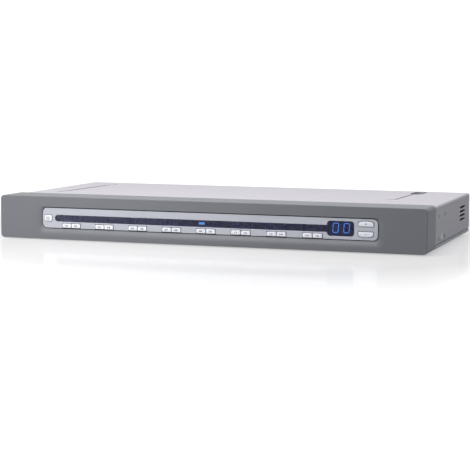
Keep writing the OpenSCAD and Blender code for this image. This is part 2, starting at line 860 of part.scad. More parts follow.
module cover_screws() {
    color([0.85, 0.85, 0.84]) {
        for (s = [-1, 1]) translate([s * case_half_w, fy(bracket_mid_d), bz(side_screw_h)])
            rotate([0, s * 90, 0]) flat_screw(m3_r, side_screw_l, m3_head_r, m3_sink_h);
        for (x = cover_tab_x) translate([x, ry(0), tab_screw_z]) rotate([-90, 0, 0])
            screw(m3_r, rear_screw_l, m3_head_r, m3_head_h);
    }
}

module bezel_screws() {
    color([0.7, 0.7, 0.68]) for (s = [-1, 1], h = bezel_boss_h)
        translate([s * bezel_boss_x, fy(case_d0 + sheet_t), bz(h)]) rotate([-90, 0, 0])
            screw(m3_r, bezel_screw_l, m3_head_r, m3_head_h);
}

module rubber_feet() {
    foot_r = 6;
    foot_x = 195;
    front_foot_d = 62;
    rear_foot_gap = 24;
    color([0.12, 0.12, 0.12]) for (s = [-1, 1], y = [fy(front_foot_d), ry(rear_foot_gap)])
        rod_z(s * foot_x, y, foot_r, 0, case_z0);
}

// ---------------------------------------------------------------- main board

module main_board() {
    color([0.08, 0.33, 0.22]) difference() {
        block(main_x0, main_x1, fy(main_d0), ry(main_rear_gap), main_z0, main_top);
        for (p = main_screw_places) rod_z(p[0], p[1], m3_clear_r, main_z0 - cut, main_top + cut);
    }
}

module board_standoffs() {
    blind_t = 1;
    color([0.78, 0.68, 0.4]) for (p = board_screw_places) difference() {
        rod_z(p[0], p[1], standoff_r, floor_z, main_z0);
        rod_z(p[0], p[1], m3_hole_r, floor_z + blind_t, main_z0 + cut);
    }
}

module board_screws() {
    color([0.75, 0.75, 0.74]) for (p = board_screw_places)
        translate([p[0], p[1], main_top]) screw(m3_r, board_screw_l, m3_head_r, m3_head_h);
}

// Twelve switching chips in two rows, and the processor under the heat sink
module switch_chips() {
    color([0.12, 0.12, 0.13]) {
        for (i = [0 : 5], d = chip_d)
            translate([chip_x0 + chip_pitch * i, fy(d), main_top]) cube([chip_w, chip_w, chip_h]);
        translate([heat_x - processor_w / 2, heat_y - processor_w / 2, main_top])
            cube([processor_w, processor_w, processor_h]);
    }
}

module heat_sink() {
    fin_pitch = (heat_w - heat_fin_t) / heat_fin_last;
    color([0.7, 0.72, 0.75]) translate([heat_x - heat_w / 2, heat_y - heat_w / 2, main_top + processor_h])
        union() {
            cube([heat_w, heat_w, heat_base_t]);
            for (i = [0 : heat_fin_last])
                translate([fin_pitch * i, 0, 0]) cube([heat_fin_t, heat_w, heat_h]);
        }
}

module board_capacitors() {
    color([0.2, 0.22, 0.3]) for (i = [0 : 6])
        rod_z(small_cap_x0 + small_cap_pitch * i, fy(small_cap_d), small_cap_r,
            main_top, main_top + small_cap_h);
}

// ---------------------------------------------------------------- computer port jacks

// The opening of one jack, with its stepped latch slot on the given side
module jack_outline(side) {
    square([jack_w, jack_h], center = true);
    for (i = [0, 1]) translate([0, side * (jack_h / 2 + latch_h[i] / 2 - latch_overlap)])
        square([latch_w[i], latch_h[i] + 2 * latch_overlap], center = true);
}

module each_jack() {
    for (x = block_x, column = [-1.5 : 1 : 1.5], row = [0, 1])
        translate([x + column * port_pitch, ry(-block_proud), main_top + jack_row_h[row]]) {
            $side = row == 0 ? -1 : 1;
            children();
        }
}

module port_jack_shields() {
    for (x = block_x) color([0.78, 0.79, 0.8]) difference() {
        block(x - block_w / 2, x + block_w / 2, ry(block_l - block_proud), ry(-block_proud),
            main_top, main_top + block_h);
        block(x - block_w / 2 + shield_t, x + block_w / 2 - shield_t,
            ry(block_l - block_proud - shield_t), ry(-cut), main_top - cut, main_top + block_h - shield_t);
    }
}

module port_jack_inserts() {
    gap = shield_t + touch_gap;
    color([0.09, 0.09, 0.1]) difference() {
        for (x = block_x)
            block(x - block_w / 2 + gap, x + block_w / 2 - gap, ry(block_l - block_proud - gap),
                ry(insert_recess - block_proud), main_top, main_top + block_h - gap);
        each_jack() slab(-jack_l, cut) jack_outline($side);
    }
}

module port_jack_contacts() {
    color([0.9, 0.72, 0.3]) each_jack() for (i = [-3.5 : 1 : 3.5])
        translate([i * contact_pitch - contact_w / 2, -jack_l,
            -$side * (jack_h / 2 - contact_sunk) - contact_t / 2])
            cube([contact_w, contact_l, contact_t]);
}

// ---------------------------------------------------------------- console connectors

// The D shape of a subminiature connector, wide edge up
module d_outline(w, grow) {
    r = d_corner_r + grow;
    half_h = d_shell_h / 2 + grow - r;
    half_w = w / 2 + grow - r;
    hull() for (sx = [-1, 1]) {
        translate([sx * half_w, half_h]) circle(r, $fn = 32);
        translate([sx * (half_w - 2 * d_slant), -half_h]) circle(r, $fn = 32);
    }
}

module d_shell(x, shell_w, flange_w, screw_gap) {
    z = main_top + d_mid_h;
    flange_y1 = ry(sheet_t + touch_gap);
    flange_y0 = flange_y1 - d_flange_t;
    color([0.78, 0.78, 0.76]) difference() {
        union() {
            block(x - flange_w / 2, x + flange_w / 2, flange_y0, flange_y1,
                z - d_flange_h / 2, z + d_flange_h / 2);
            slab(flange_y1 - d_flange_t / 2, ry(-shell_proud)) translate([x, z]) d_outline(shell_w, 0);
        }
        slab(flange_y0 - cut, ry(-shell_proud - cut)) translate([x, z]) d_outline(shell_w, -d_skin);
        for (s = [-1, 1])
            rod_y(x + s * screw_gap / 2, z, jackscrew_clear_r, flange_y0 - cut, flange_y1 + cut);
    }
}

// The plastic body behind the flange and the contact block inside the shell
module d_insert(x, shell_w, flange_w) {
    z = main_top + d_mid_h;
    back_y = ry(sheet_t + touch_gap) - d_flange_t;
    half_w = flange_w / 2 - d_body_inset;
    color([0.12, 0.16, 0.35]) union() {
        slab(back_y - 2 * touch_gap, ry(d_insert_recess - shell_proud))
            translate([x, z]) d_outline(shell_w, -d_skin - d_insert_gap);
        block(x - half_w, x + half_w, back_y - d_body_l, back_y - touch_gap,
            main_top, main_top + d_body_h);
    }
}

module video_jack_shell() {
    d_shell(video_x, video_shell_w, video_flange_w, video_screw_gap);
}

module video_jack_insert() {
    d_insert(video_x, video_shell_w, video_flange_w);
}

module chain_jack_shell() {
    d_shell(chain_x, chain_shell_w, chain_flange_w, chain_screw_gap);
}

module chain_jack_insert() {
    d_insert(chain_x, chain_shell_w, chain_flange_w);
}

// A hexagonal standoff screw that a cable's thumbscrew threads into
module jackscrew(x) {
    z = main_top + d_mid_h;
    hex_r = jackscrew_af / 2 / cos(30);
    hole_past = 0.5;
    difference() {
        union() {
            translate([x, ry(-jackscrew_l), z]) rotate([90, 0, 0])
                cylinder(r = hex_r, h = jackscrew_l, $fn = 6);
            rod_y(x, z, jackscrew_thread_r, ry(jackscrew_thread_l), ry(-cut));
        }
        rod_y(x, z, jackscrew_hole_r, ry(hole_past), ry(-jackscrew_l - cut));
    }
}

module jackscrews() {
    color([0.8, 0.8, 0.78]) for (x = jackscrew_x) jackscrew(x);
}

// A round six-way socket in a square body
module din_jack(z0) {
    z = z0 + din_h / 2;
    front = ry(-din_proud);
    well_end = ry(din_well_l - din_proud);
    difference() {
        block(mouse_x - din_w / 2, mouse_x + din_w / 2, ry(din_l), front, z0, z0 + din_h - touch_gap);
        difference() {
            rod_y(mouse_x, z, din_well_r, well_end, front + cut);
            rod_y(mouse_x, z, din_post_r, well_end - cut, front - din_post_recess);
        }
        block(mouse_x - din_key_w / 2, mouse_x + din_key_w / 2, well_end, front + cut,
            z - din_key_drop[0], z - din_key_drop[1]);
    }
}

module keyboard_jack() {
    color([0.42, 0.3, 0.6]) din_jack(main_top);
}

module mouse_jack() {
    color([0.3, 0.62, 0.45]) din_jack(main_top + din_h);
}

module usb_jack_shell() {
    front = ry(-usb_proud);
    color([0.78, 0.79, 0.8]) difference() {
        block(usb_x - usb_w / 2, usb_x + usb_w / 2, front - usb_l, front, main_top, main_top + usb_h);
        for (h = usb_row_h)
            block(usb_x - usb_slot_w / 2, usb_x + usb_slot_w / 2, front - usb_slot_l, front + cut,
                main_top + h - usb_slot_h / 2, main_top + h + usb_slot_h / 2);
    }
}

module usb_jack_tongues() {
    front = ry(-usb_proud);
    color([0.93, 0.93, 0.92]) for (h = usb_row_h)
        block(usb_x - usb_tongue_w / 2, usb_x + usb_tongue_w / 2,
            front - usb_slot_l, front - usb_tongue_recess, main_top + h, main_top + h + usb_tongue_h);
}

// ---------------------------------------------------------------- power supply

module power_board() {
    color([0.62, 0.45, 0.22]) difference() {
        block(power_x0, power_x1, fy(power_d0), ry(power_rear_gap), main_z0, main_top);
        for (p = power_screw_places) rod_z(p[0], p[1], m3_clear_r, main_z0 - cut, main_top + cut);
    }
}

module power_transformer() {
    winding_z0 = main_top + core_t;
    color([0.75, 0.68, 0.25]) union() {
        for (z = [main_top, winding_z0 + winding_h])
            block(transformer_x - core_w / 2, transformer_x + core_w / 2,
                fy(transformer_d - core_l / 2), fy(transformer_d + core_l / 2), z, z + core_t);
        block(transformer_x - winding_w / 2, transformer_x + winding_w / 2,
            fy(transformer_d - winding_l / 2), fy(transformer_d + winding_l / 2),
            winding_z0, winding_z0 + winding_h);
    }
}

module power_capacitors() {
    color([0.15, 0.15, 0.18]) {
        rod_z(mains_cap[0], fy(mains_cap[1]), mains_cap_r, main_top, main_top + mains_cap_h);
        for (i = [0 : 2]) rod_z(output_cap_x0 + output_cap_pitch * i, fy(output_cap_d),
            output_cap_r, main_top, main_top + output_cap_h);
    }
}

// The well of the mains inlet, with its two lower corners cut off
module inlet_well_outline() {
    w = inlet_well_w / 2;
    h = inlet_well_h / 2;
    c = inlet_well_chamfer;
    polygon([[-w, h], [-w, c - h], [c - w, -h], [w - c, -h], [w, c - h], [w, h]]);
}

module inlet_pin_at(p, grow, y0, y1) {
    half_w = inlet_pin_w / 2 + grow;
    half_h = inlet_pin_h / 2 + grow;
    block(inlet_x + p[0] - half_w, inlet_x + p[0] + half_w, y0, y1,
        mains_z + p[1] - half_h, mains_z + p[1] + half_h);
}

module power_inlet() {
    well_end = ry(inlet_well_l - inlet_flange_t);
    color([0.1, 0.1, 0.11]) difference() {
        union() {
            slab(ry(0), ry(-inlet_flange_t)) translate([inlet_x, mains_z])
                rounded_rect(inlet_flange_w, inlet_flange_h, inlet_flange_r);
            slab(ry(inlet_body_l), ry(-inlet_flange_t / 2)) translate([inlet_x, mains_z])
                square([inlet_body_w, inlet_body_h], center = true);
        }
        slab(well_end, ry(-inlet_flange_t - cut)) translate([inlet_x, mains_z]) inlet_well_outline();
        for (p = inlet_pin_places) inlet_pin_at(p, touch_gap, ry(inlet_body_l + cut), well_end + cut);
    }
}

module inlet_pins() {
    color([0.8, 0.72, 0.5]) for (p = inlet_pin_places)
        inlet_pin_at(p, 0, ry(inlet_body_l + inlet_tab_l), ry(inlet_pin_recess));
}

module power_switch_frame() {
    pin_hole_half = frame_well_w / 2 + frame_wall / 2;
    color([0.1, 0.1, 0.11]) difference() {
        union() {
            slab(ry(0), ry(-frame_flange_t)) translate([rocker_x, mains_z]) rounded_rect(
                frame_body_w + 2 * frame_lip, 2 * (frame_body_half_h + frame_lip), frame_lip_r);
            slab(ry(frame_body_l), ry(-frame_flange_t / 2)) translate([rocker_x, mains_z])
                square([frame_body_w, 2 * frame_body_half_h], center = true);
        }
        slab(ry(frame_well_l), ry(-frame_flange_t - cut)) translate([rocker_x, mains_z])
            square([frame_well_w, 2 * frame_well_half_h], center = true);
        rod_x(rocker_pivot_y, mains_z, rocker_pin_r + rocker_pin_gap,
            rocker_x - pin_hole_half, rocker_x + pin_hole_half);
    }
}

// A rocker on two short pins; at rest its upper end is pressed in
module power_rocker() {
    mid_out = rocker_pivot_in + rocker_crown;
    end_out = mid_out + rocker_half_h * tan(rocker_tilt);
    toe = rocker_half_h - rocker_toe_in;
    pin_half = rocker_w / 2 + rocker_pin_l;
    color([0.13, 0.13, 0.14]) translate([rocker_x, rocker_pivot_y, mains_z])
        rotate([rocker_tilt, 0, 0]) union() {
            strip_x(-rocker_w / 2, rocker_w / 2) polygon([
                [mid_out, 0], [end_out, rocker_half_h], [-rocker_keel[0], toe], [-rocker_keel[1], 0],
                [-rocker_keel[0], -toe], [end_out, -rocker_half_h]]);
            rod_x(0, 0, rocker_pin_r, -pin_half, pin_half);
        }
}

// A straight run of wire from a to b
module wire_run(a, b, r) {
    run = b - a;
    translate(a) rotate([0, acos(run[2] / norm(run)), atan2(run[1], run[0])])
        cylinder(r = r, h = norm(run));
}

module wire(points, r) {
    for (i = [0 : len(points) - 2]) wire_run(points[i], points[i + 1], r);
    for (i = [1 : 1 : len(points) - 2]) translate(points[i]) sphere(r);
}

// Mains wires from the inlet to the switch and the power board, the earth wire to the
// tray, and three supply wires that bridge the two boards
module power_wires() {
    wire_r = 1;
    pin_end = ry(inlet_body_l + inlet_tab_l + touch_gap);
    switch_end = ry(frame_body_l + touch_gap);
    switch_hi = mains_z + 5;
    switch_lo = mains_z - 6;
    live_x = inlet_x - inlet_pin_gap;
    neutral_x = inlet_x + inlet_pin_gap;
    pin_z = mains_z + inlet_pin_z;
    earth_x = 207;
    earth_z = mains_z + inlet_earth_z;
    live_y = ry(33);
    earth_y = ry(30);
    switched_y = ry(56);
    neutral_y = ry(58);
    board_z = main_top + touch_gap;
    bridge_z = main_top + 7;
    bridge_x = [144, 122];
    color([0.15, 0.15, 0.16]) {
        wire([[live_x, pin_end, pin_z], [live_x, live_y, pin_z], [rocker_x, live_y, pin_z],
            [rocker_x, live_y, switch_hi], [rocker_x, switch_end, switch_hi]], wire_r);
        wire([[rocker_x, switch_end, switch_lo], [rocker_x, switched_y, switch_lo],
            [rocker_x, switched_y, board_z]], wire_r);
        wire([[neutral_x, pin_end, pin_z], [neutral_x, neutral_y, pin_z],
            [neutral_x, neutral_y, board_z]], wire_r);
        wire([[inlet_x, pin_end, earth_z], [inlet_x, earth_y, earth_z], [earth_x, earth_y, earth_z],
            [earth_x, earth_y, floor_z + touch_gap]], wire_r);
    }
    color([0.7, 0.15, 0.12]) for (y = [fy(100), fy(104), fy(108)])
        wire([[bridge_x[0], y, board_z], [bridge_x[0], y, bridge_z],
            [bridge_x[1], y, bridge_z], [bridge_x[1], y, board_z]], wire_r);
}

// ---------------------------------------------------------------- assembly

front_bezel();
trim_panel();
display_lens();
port_button(1);  // port_button_01
port_button(2);  // port_button_02
port_button(3);  // port_button_03
port_button(4);  // port_button_04
port_button(5);  // port_button_05
port_button(6);  // port_button_06
port_button(7);  // port_button_07
port_button(8);  // port_button_08
port_button(9);  // port_button_09
port_button(10);  // port_button_10
port_button(11);  // port_button_11
port_button(12);  // port_button_12
port_button(13);  // port_button_13
port_button(14);  // port_button_14
port_button(15);  // port_button_15
port_button(16);  // port_button_16
bank_up_button();
bank_down_button();
reset_button();
keypad_mat();
port_leds();
digit_display();
control_board();
control_board_screws();
ribbon_cable();
ribbon_headers();
chassis_tray();
top_cover();
cover_screws();
bezel_screws();
rubber_feet();
main_board();
board_standoffs();
board_screws();
port_jack_shields();
port_jack_inserts();
port_jack_contacts();
video_jack_shell();
video_jack_insert();
chain_jack_shell();
chain_jack_insert();
jackscrews();
keyboard_jack();
mouse_jack();
usb_jack_shell();
usb_jack_tongues();
switch_chips();
heat_sink();
board_capacitors();
power_board();
power_transformer();
power_capacitors();
power_inlet();
inlet_pins();
power_switch_frame();
power_rocker();
power_wires();
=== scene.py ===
"""Looks of the rack-height KVM switch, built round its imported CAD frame. Lengths are in millimetres."""
import math

import bmesh
import bpy
from mathutils import Matrix, Vector
from mathutils.geometry import tessellate_polygon


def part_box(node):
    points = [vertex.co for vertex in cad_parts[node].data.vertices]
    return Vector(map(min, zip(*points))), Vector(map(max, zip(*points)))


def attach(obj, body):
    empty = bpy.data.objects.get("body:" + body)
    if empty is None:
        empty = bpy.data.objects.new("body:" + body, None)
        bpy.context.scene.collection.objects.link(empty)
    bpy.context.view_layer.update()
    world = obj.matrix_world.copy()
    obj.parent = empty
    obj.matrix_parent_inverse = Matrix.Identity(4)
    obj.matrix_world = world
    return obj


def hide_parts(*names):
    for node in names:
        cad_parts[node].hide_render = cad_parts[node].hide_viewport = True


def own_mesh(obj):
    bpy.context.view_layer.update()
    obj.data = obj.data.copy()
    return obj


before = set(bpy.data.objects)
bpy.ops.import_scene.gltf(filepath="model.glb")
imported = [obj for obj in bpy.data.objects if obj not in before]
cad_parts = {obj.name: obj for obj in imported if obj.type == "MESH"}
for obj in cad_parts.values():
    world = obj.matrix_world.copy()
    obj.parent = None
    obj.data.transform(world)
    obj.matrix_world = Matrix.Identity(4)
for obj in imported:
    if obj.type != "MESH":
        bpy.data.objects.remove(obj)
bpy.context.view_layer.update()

MM = 0.001
CASE = "case"


def box(node):
    """Lowest and highest corner of a CAD node, in millimetres."""
    low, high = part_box(node)
    return [c / MM for c in low], [c / MM for c in high]


# -------- sizes that the frame gives

(BEZEL_X0, BEZEL_FRONT, BEZEL_Z0), (BEZEL_X1, BEZEL_BACK, _) = box("front_bezel")
(PANEL_X0, PANEL_FRONT, PANEL_Z0), (PANEL_X1, PANEL_BACK, PANEL_Z1) = box("trim_panel")
(LENS_X0, LENS_FRONT, LENS_Z0), (LENS_X1, _, LENS_Z1) = box("display_lens")
(_, COVER_FRONT, COVER_Z0), (COVER_X1, REAR, COVER_TOP) = box("top_cover")
MAT_WEB = box("control_board")[0][1]

PORT_BUTTONS = [f"port_button_{port:02d}" for port in range(1, 17)]
BANK_BUTTONS = ["bank_up_button", "bank_down_button"]
BUTTONS = PORT_BUTTONS + BANK_BUTTONS + ["reset_button"]

# -------- sizes of details

BEZEL_WALL = 2.2
BEZEL_FRONT_WALL = 3.6
BEZEL_CORNER_R = 4.0
BEZEL_FRONT_ROUND = 0.7
BEZEL_BACK_ROUND = 0.3
CASE_BOSS_IN = 20
CASE_BOSS_Z = (BEZEL_Z0 + 12, BEZEL_Z0 + 33)
BOARD_BOSS_X = (-168, -56, 56, 168)
BOARD_BOSS_Z = (BEZEL_Z0 + 7.4, BEZEL_Z0 + 35.5)
DISH_SIDES = 7.0
DISH_TOP = 0.35
DISH_BOTTOM = 7.5
DISH_DEPTH = 1.9
DISH_STEPS = 8
PANEL_CORNER_R = 4.5
PANEL_GAP = 0.7
POCKET_GAP_LEFT = 1.1
POCKET_GAP_RIGHT = 0.35
PANEL_ROUND = 0.22
NOTCH_R = 0.25
CAP_GAP = 0.5
BANK_GAP = 0.6
CAP_R = 0.5
CAP_ROUND = 0.35
CAP_CROWN = 0.25
FLANGE_T = 1.0
FLANGE_LIP = 1.2
FLANGE_SIDE = 0.15
STEM_R = 1.4
TOUCH_GAP = 0.05
MAT_T = 1.0
DOME_H = 2.5
DOME_R = 2.6
STRIP_H = 6.5
STRIP_MID_Z = BEZEL_Z0 + 21.35
STRIP_REST = 0.65
WINDOW_W = 26.0
WINDOW_R = 3.0
WINDOW_JOIN_R = 0.5
WINDOW_REST = (2.0, 0.4)
LENS_GAP = 0.15
RESET_R = 1.4
BANK_SAGITTA = 1.3
BANK_OUTER_R = 1.8
BANK_INNER_R = 0.8
DIGIT_PITCH = 10.6
BAR_RISE = 0.7
BAR_W = 0.65
BAR_GAP = 0.2
DIGIT_W = 5.2
DIGIT_H = 8.8
DIGIT_SLANT = math.radians(4.5)
LAMP_W = 6.0
LAMP_H = 2.2
LAMP_RIM = 0.4
LAMP_TIP = 0.5
LIT_PORT = 9
MARK_LIFT = 0.05
MARK_ROOT = 0.3
SHEET_T = 1.0
COVER_BEND_R = 2.5
SHEET_EDGE_R = 0.22
SEAM_GAP = 0.6
SHARP_ANGLE = math.radians(35)
BEVEL_ANGLE = math.radians(38)


# -------- outlines: lists of (u, v)

def arc(centre, radius, start, end, steps):
    """Points along an arc, with its angles in degrees."""
    angles = [math.radians(start + (end - start) * k / steps) for k in range(steps + 1)]
    return [(centre[0] + radius * math.cos(a), centre[1] + radius * math.sin(a)) for a in angles]


def circle(centre, radius, steps=32):
    """A closed circle."""
    return arc(centre, radius, 0, 360, steps)[:-1]


def rounded(corners, steps=5):
    """A closed outline through corners (u, v, radius), each turned with an arc of its radius."""
    outline = []
    for index, (u, v, radius) in enumerate(corners):
        here = Vector((u, v))
        into = (here - Vector(corners[index - 1][:2])).normalized()
        out = (Vector(corners[(index + 1) % len(corners)][:2]) - here).normalized()
        turn = math.atan2(into.x * out.y - into.y * out.x, into.dot(out))
        start = here - into * radius * math.tan(abs(turn) / 2)
        spoke = Vector((into.y, -into.x)) * math.copysign(radius, turn)
        centre = start - spoke
        for k in range(steps + 1):
            point = centre + Matrix.Rotation(turn * k / steps, 2) @ spoke
            outline.append((point.x, point.y))
    return outline


def rounded_rect(centre, width, height, radius, steps=5):
    """A closed rectangle with round corners."""
    u, v, w, h = centre[0], centre[1], width / 2, height / 2
    corners = [(u - w, v - h), (u + w, v - h), (u + w, v + h), (u - w, v + h)]
    return rounded([(a, b, radius) for a, b in corners], steps)


def grown(outline, distance):
    """The closed outline moved outwards by distance."""
    if distance == 0:
        return list(outline)
    moved = []
    for index, point in enumerate(outline):
        here = Vector(point)
        into = (here - Vector(outline[index - 1])).normalized()
        out = (Vector(outline[(index + 1) % len(outline)]) - here).normalized()
        side_in, side_out = Vector((into.y, -into.x)), Vector((out.y, -out.x))
        step = (side_in + side_out) * distance / (1 + side_in.dot(side_out))
        moved.append((here.x + step.x, here.y + step.y))
    return moved


def buffered(chain, width, steps=6):
    """The outline of a round-ended groove of this width along a chain of points."""
    def side(points):
        edge = []
        for index, point in enumerate(points):
            before, after = points[max(index - 1, 0)], points[min(index + 1, len(points) - 1)]
            run = (Vector(after) - Vector(before)).normalized()
            edge.append((point[0] + run.y * width / 2, point[1] - run.x * width / 2))
        return edge

    def cap(points):
        run = Vector(points[-1]) - Vector(points[-2])
        heading = math.degrees(math.atan2(run.y, run.x))
        return arc(points[-1], width / 2, heading - 90, heading + 90, steps)[1:-1]

    back = chain[::-1]
    return side(chain) + cap(chain) + side(back) + cap(back)


# -------- building pieces

def at_y(point, depth):
    """Places an outline's (x, z) at a y."""
    return (point[0], depth, point[1])


def at_x(point, depth):
    """Places an outline's (y, z) at an x."""
    return (depth, point[0], point[1])


def at_z(point, depth):
    """Places an outline's (x, y) at a z."""
    return (point[0], point[1], depth)


def edge_profile(face, into, radius, steps=3):
    """(inset, depth) pairs that turn from the side of a solid on to its face."""
    if radius == 0:
        return [(0, face)]
    angles = [math.pi / 2 * k / steps for k in range(steps + 1)]
    return [(radius * (1 - math.cos(a)), face + into * radius * (1 - math.sin(a))) for a in angles]


class Shell:
    """Points and faces of one piece, in millimetres."""

    def __init__(self):
        self.points = []
        self.faces = []
        self.paint = []
        self.colour = 0

    def ring(self, outline, place, depth):
        """Adds an outline's points at a depth; returns their indices."""
        start = len(self.points)
        self.points += [place(point, depth) for point in outline]
        return list(range(start, len(self.points)))

    def face(self, corners):
        """Adds a face in the present colour."""
        self.faces.append(corners)
        self.paint.append(self.colour)

    def bridge(self, first, second, skip=()):
        """Joins two rings with faces, but for those that start at the points in skip."""
        count = len(first)
        for i in range(count):
            j = (i + 1) % count
            if i not in skip:
                self.face([first[i], first[j], second[j], second[i]])

    def loft(self, rings):
        """Joins each ring to the next."""
        for first, second in zip(rings, rings[1:]):
            self.bridge(first, second)

    def fill(self, *rings):
        """A flat face inside the first ring and outside the others."""
        corners = [index for ring in rings for index in ring]
        rim = [self.points[index] for index in rings[0]]
        spans = [max(p[k] for p in rim) - min(p[k] for p in rim) for k in range(3)]
        keep = sorted(range(3), key=lambda k: -spans[k])[:2]
        flat = [[Vector([self.points[i][k] for k in keep]) for i in ring] for ring in rings]
        for triangle in tessellate_polygon(flat):
            self.face([corners[k] for k in triangle])

    def stack(self, outline, place, profile):
        """Rings of an outline at each (inset, depth) of a profile, joined; returns the rings."""
        rings = [self.ring(grown(outline, -inset), place, depth) for inset, depth in profile]
        self.loft(rings)
        return rings

    def blind(self, outline, place, profile):
        """A recess with a flat end; returns the ring at its mouth."""
        stack = self.stack(outline, place, profile)
        self.fill(stack[-1])
        return stack[0]

    def plate(self, place, outer, holes, front, back, front_round=0.2, back_round=0.0):
        """A plate from depth front to depth back, with rounded edges round it and its holes."""
        into = math.copysign(1, back - front)
        profile = edge_profile(back, -into, back_round)[::-1] + edge_profile(front, into, front_round)
        stacks = [self.stack(outer, place, profile)]
        for hole in holes:
            stacks.append(self.stack(hole, place, [(-inset, depth) for inset, depth in profile]))
        self.fill(*[rings[0] for rings in stacks])
        self.fill(*[rings[-1] for rings in stacks])

    def turned(self, place, centre, profile, steps=32):
        """A turned shape from (radius, depth) pairs, closed at both ends."""
        rings = [self.ring(circle(centre, radius, steps), place, depth) for radius, depth in profile]
        self.loft(rings)
        self.fill(rings[0])
        self.fill(rings[-1])


def new_object(name, data):
    """An object of a mesh, curve, light or camera, put in the scene."""
    made = bpy.data.objects.new(name, data)
    bpy.context.scene.collection.objects.link(made)
    return made


def piece(name, shell, finishes, replaces=(), body=CASE):
    """Makes an object of a shell, with a material for each finish, and rides it on its body."""
    mesh = bpy.data.meshes.new(name)
    mesh.from_pydata([[c * MM for c in point] for point in shell.points], [], shell.faces)
    mesh.polygons.foreach_set("material_index", shell.paint)
    work = bmesh.new()
    work.from_mesh(mesh)
    bmesh.ops.remove_doubles(work, verts=work.verts, dist=1e-7)
    bmesh.ops.recalc_face_normals(work, faces=work.faces)
    for face in work.faces:
        face.smooth = True
    for edge in work.edges:
        edge.smooth = edge.calc_face_angle(0) < SHARP_ANGLE
    work.to_mesh(mesh)
    work.free()
    for finish in finishes:
        mesh.materials.append(FINISH[finish])
    made = new_object(name, mesh)
    normals = made.modifiers.new("normals", "WEIGHTED_NORMAL")
    normals.keep_sharp = True
    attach(made, body)
    if replaces:
        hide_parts(*replaces)
    return made


def dress(node, finish, bevel):
    """Rounds the edges of a CAD node with modifiers and gives it its finish."""
    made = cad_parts[node]
    made.data.materials.clear()
    made.data.materials.append(FINISH[finish])
    if "custom_normal" in made.data.attributes:
        made.data.attributes.remove(made.data.attributes["custom_normal"])
    for face in made.data.polygons:
        face.use_smooth = True
    weld = made.modifiers.new("weld", "WELD")
    weld.merge_threshold = 0.001 * MM
    rounding = made.modifiers.new("rounding", "BEVEL")
    rounding.width = bevel * MM
    rounding.segments = 2
    rounding.limit_method = "ANGLE"
    rounding.angle_limit = BEVEL_ANGLE
    made.modifiers.new("normals", "WEIGHTED_NORMAL")


# -------- materials

FINISH = {}


def new_finish(name):
    """Adds a node material to FINISH; returns its node tree and its main shader."""
    material = bpy.data.materials.new(name)
    material.use_nodes = True
    FINISH[name] = material
    return material.node_tree, material.node_tree.nodes["Principled BSDF"]


def noise(tree, scale, detail, vector):
    """A noise texture's value."""
    texture = tree.nodes.new("ShaderNodeTexNoise")
    texture.inputs["Scale"].default_value = scale
    texture.inputs["Detail"].default_value = detail
    tree.links.new(vector, texture.inputs["Vector"])
    return texture.outputs["Fac"]


def mapped(tree, value, low, high, out_low, out_high):
    """A value's place between low and high, mapped to between out_low and out_high."""
    ramp = tree.nodes.new("ShaderNodeMapRange")
    for key, number in (("From Min", low), ("From Max", high), ("To Min", out_low), ("To Max", out_high)):
        ramp.inputs[key].default_value = number
    tree.links.new(value, ramp.inputs["Value"])
    return ramp.outputs["Result"]


def maths(tree, operation, first, second):
    """The result of a maths node on two sockets or numbers."""
    node = tree.nodes.new("ShaderNodeMath")
    node.operation = operation
    for socket, value in zip(node.inputs, (first, second)):
        if isinstance(value, (int, float)):
            socket.default_value = value
        else:
            tree.links.new(value, socket)
    return node.outputs["Value"]


def scaled_colour(tree, colour, share):
    """A colour times a value."""
    shade = tree.nodes.new("ShaderNodeVectorMath")
    shade.operation = "SCALE"
    shade.inputs[0].default_value = colour
    tree.links.new(share, shade.inputs["Scale"])
    return shade.outputs["Vector"]


def object_place(tree, stretch=(1, 1, 1)):
    """The place on the object, stretched."""
    place = tree.nodes.new("ShaderNodeTexCoord")
    mapping = tree.nodes.new("ShaderNodeMapping")
    mapping.inputs["Scale"].default_value = stretch
    tree.links.new(place.outputs["Object"], mapping.inputs["Vector"])
    return mapping.outputs["Vector"]


def surface(name, colour, roughness, vary=0.05, grain=0.6, bump=0.1, speckle=0.03, metallic=0.0,
            specular=0.5, stretch=(1, 1, 1)):
    """A surface with soft patches of colour and a fine grain in its colour, roughness and relief."""
    tree, shader = new_finish(name)
    link = tree.links.new
    vector = object_place(tree, stretch)
    patches = noise(tree, 25.0, 3.0, vector)
    fine = noise(tree, 1000.0 / grain, 2.0, vector)
    tone = mapped(tree, patches, 0.3, 0.7, 1 - vary, 1 + vary)
    fleck = mapped(tree, fine, 0.3, 0.7, 1 - speckle, 1 + speckle)
    link(scaled_colour(tree, colour, maths(tree, "MULTIPLY", tone, fleck)), shader.inputs["Base Color"])
    rough = mapped(tree, fine, 0.2, 0.8, roughness * 0.85, min(roughness * 1.15, 1.0))
    link(rough, shader.inputs["Roughness"])
    relief = tree.nodes.new("ShaderNodeBump")
    relief.inputs["Strength"].default_value = bump
    relief.inputs["Distance"].default_value = 0.2 * MM
    link(fine, relief.inputs["Height"])
    link(relief.outputs["Normal"], shader.inputs["Normal"])
    shader.inputs["Metallic"].default_value = metallic
    shader.inputs["Specular IOR Level"].default_value = specular


def glow(name, colour, strength):
    """A lit, slightly uneven lamp face."""
    tree, shader = new_finish(name)
    patches = noise(tree, 700.0, 1.0, object_place(tree))
    level = mapped(tree, patches, 0.3, 0.7, 0.95 * strength, 1.05 * strength)
    tree.links.new(level, shader.inputs["Emission Strength"])
    shader.inputs["Emission Color"].default_value = (*colour, 1)
    shader.inputs["Base Color"].default_value = (*colour, 1)


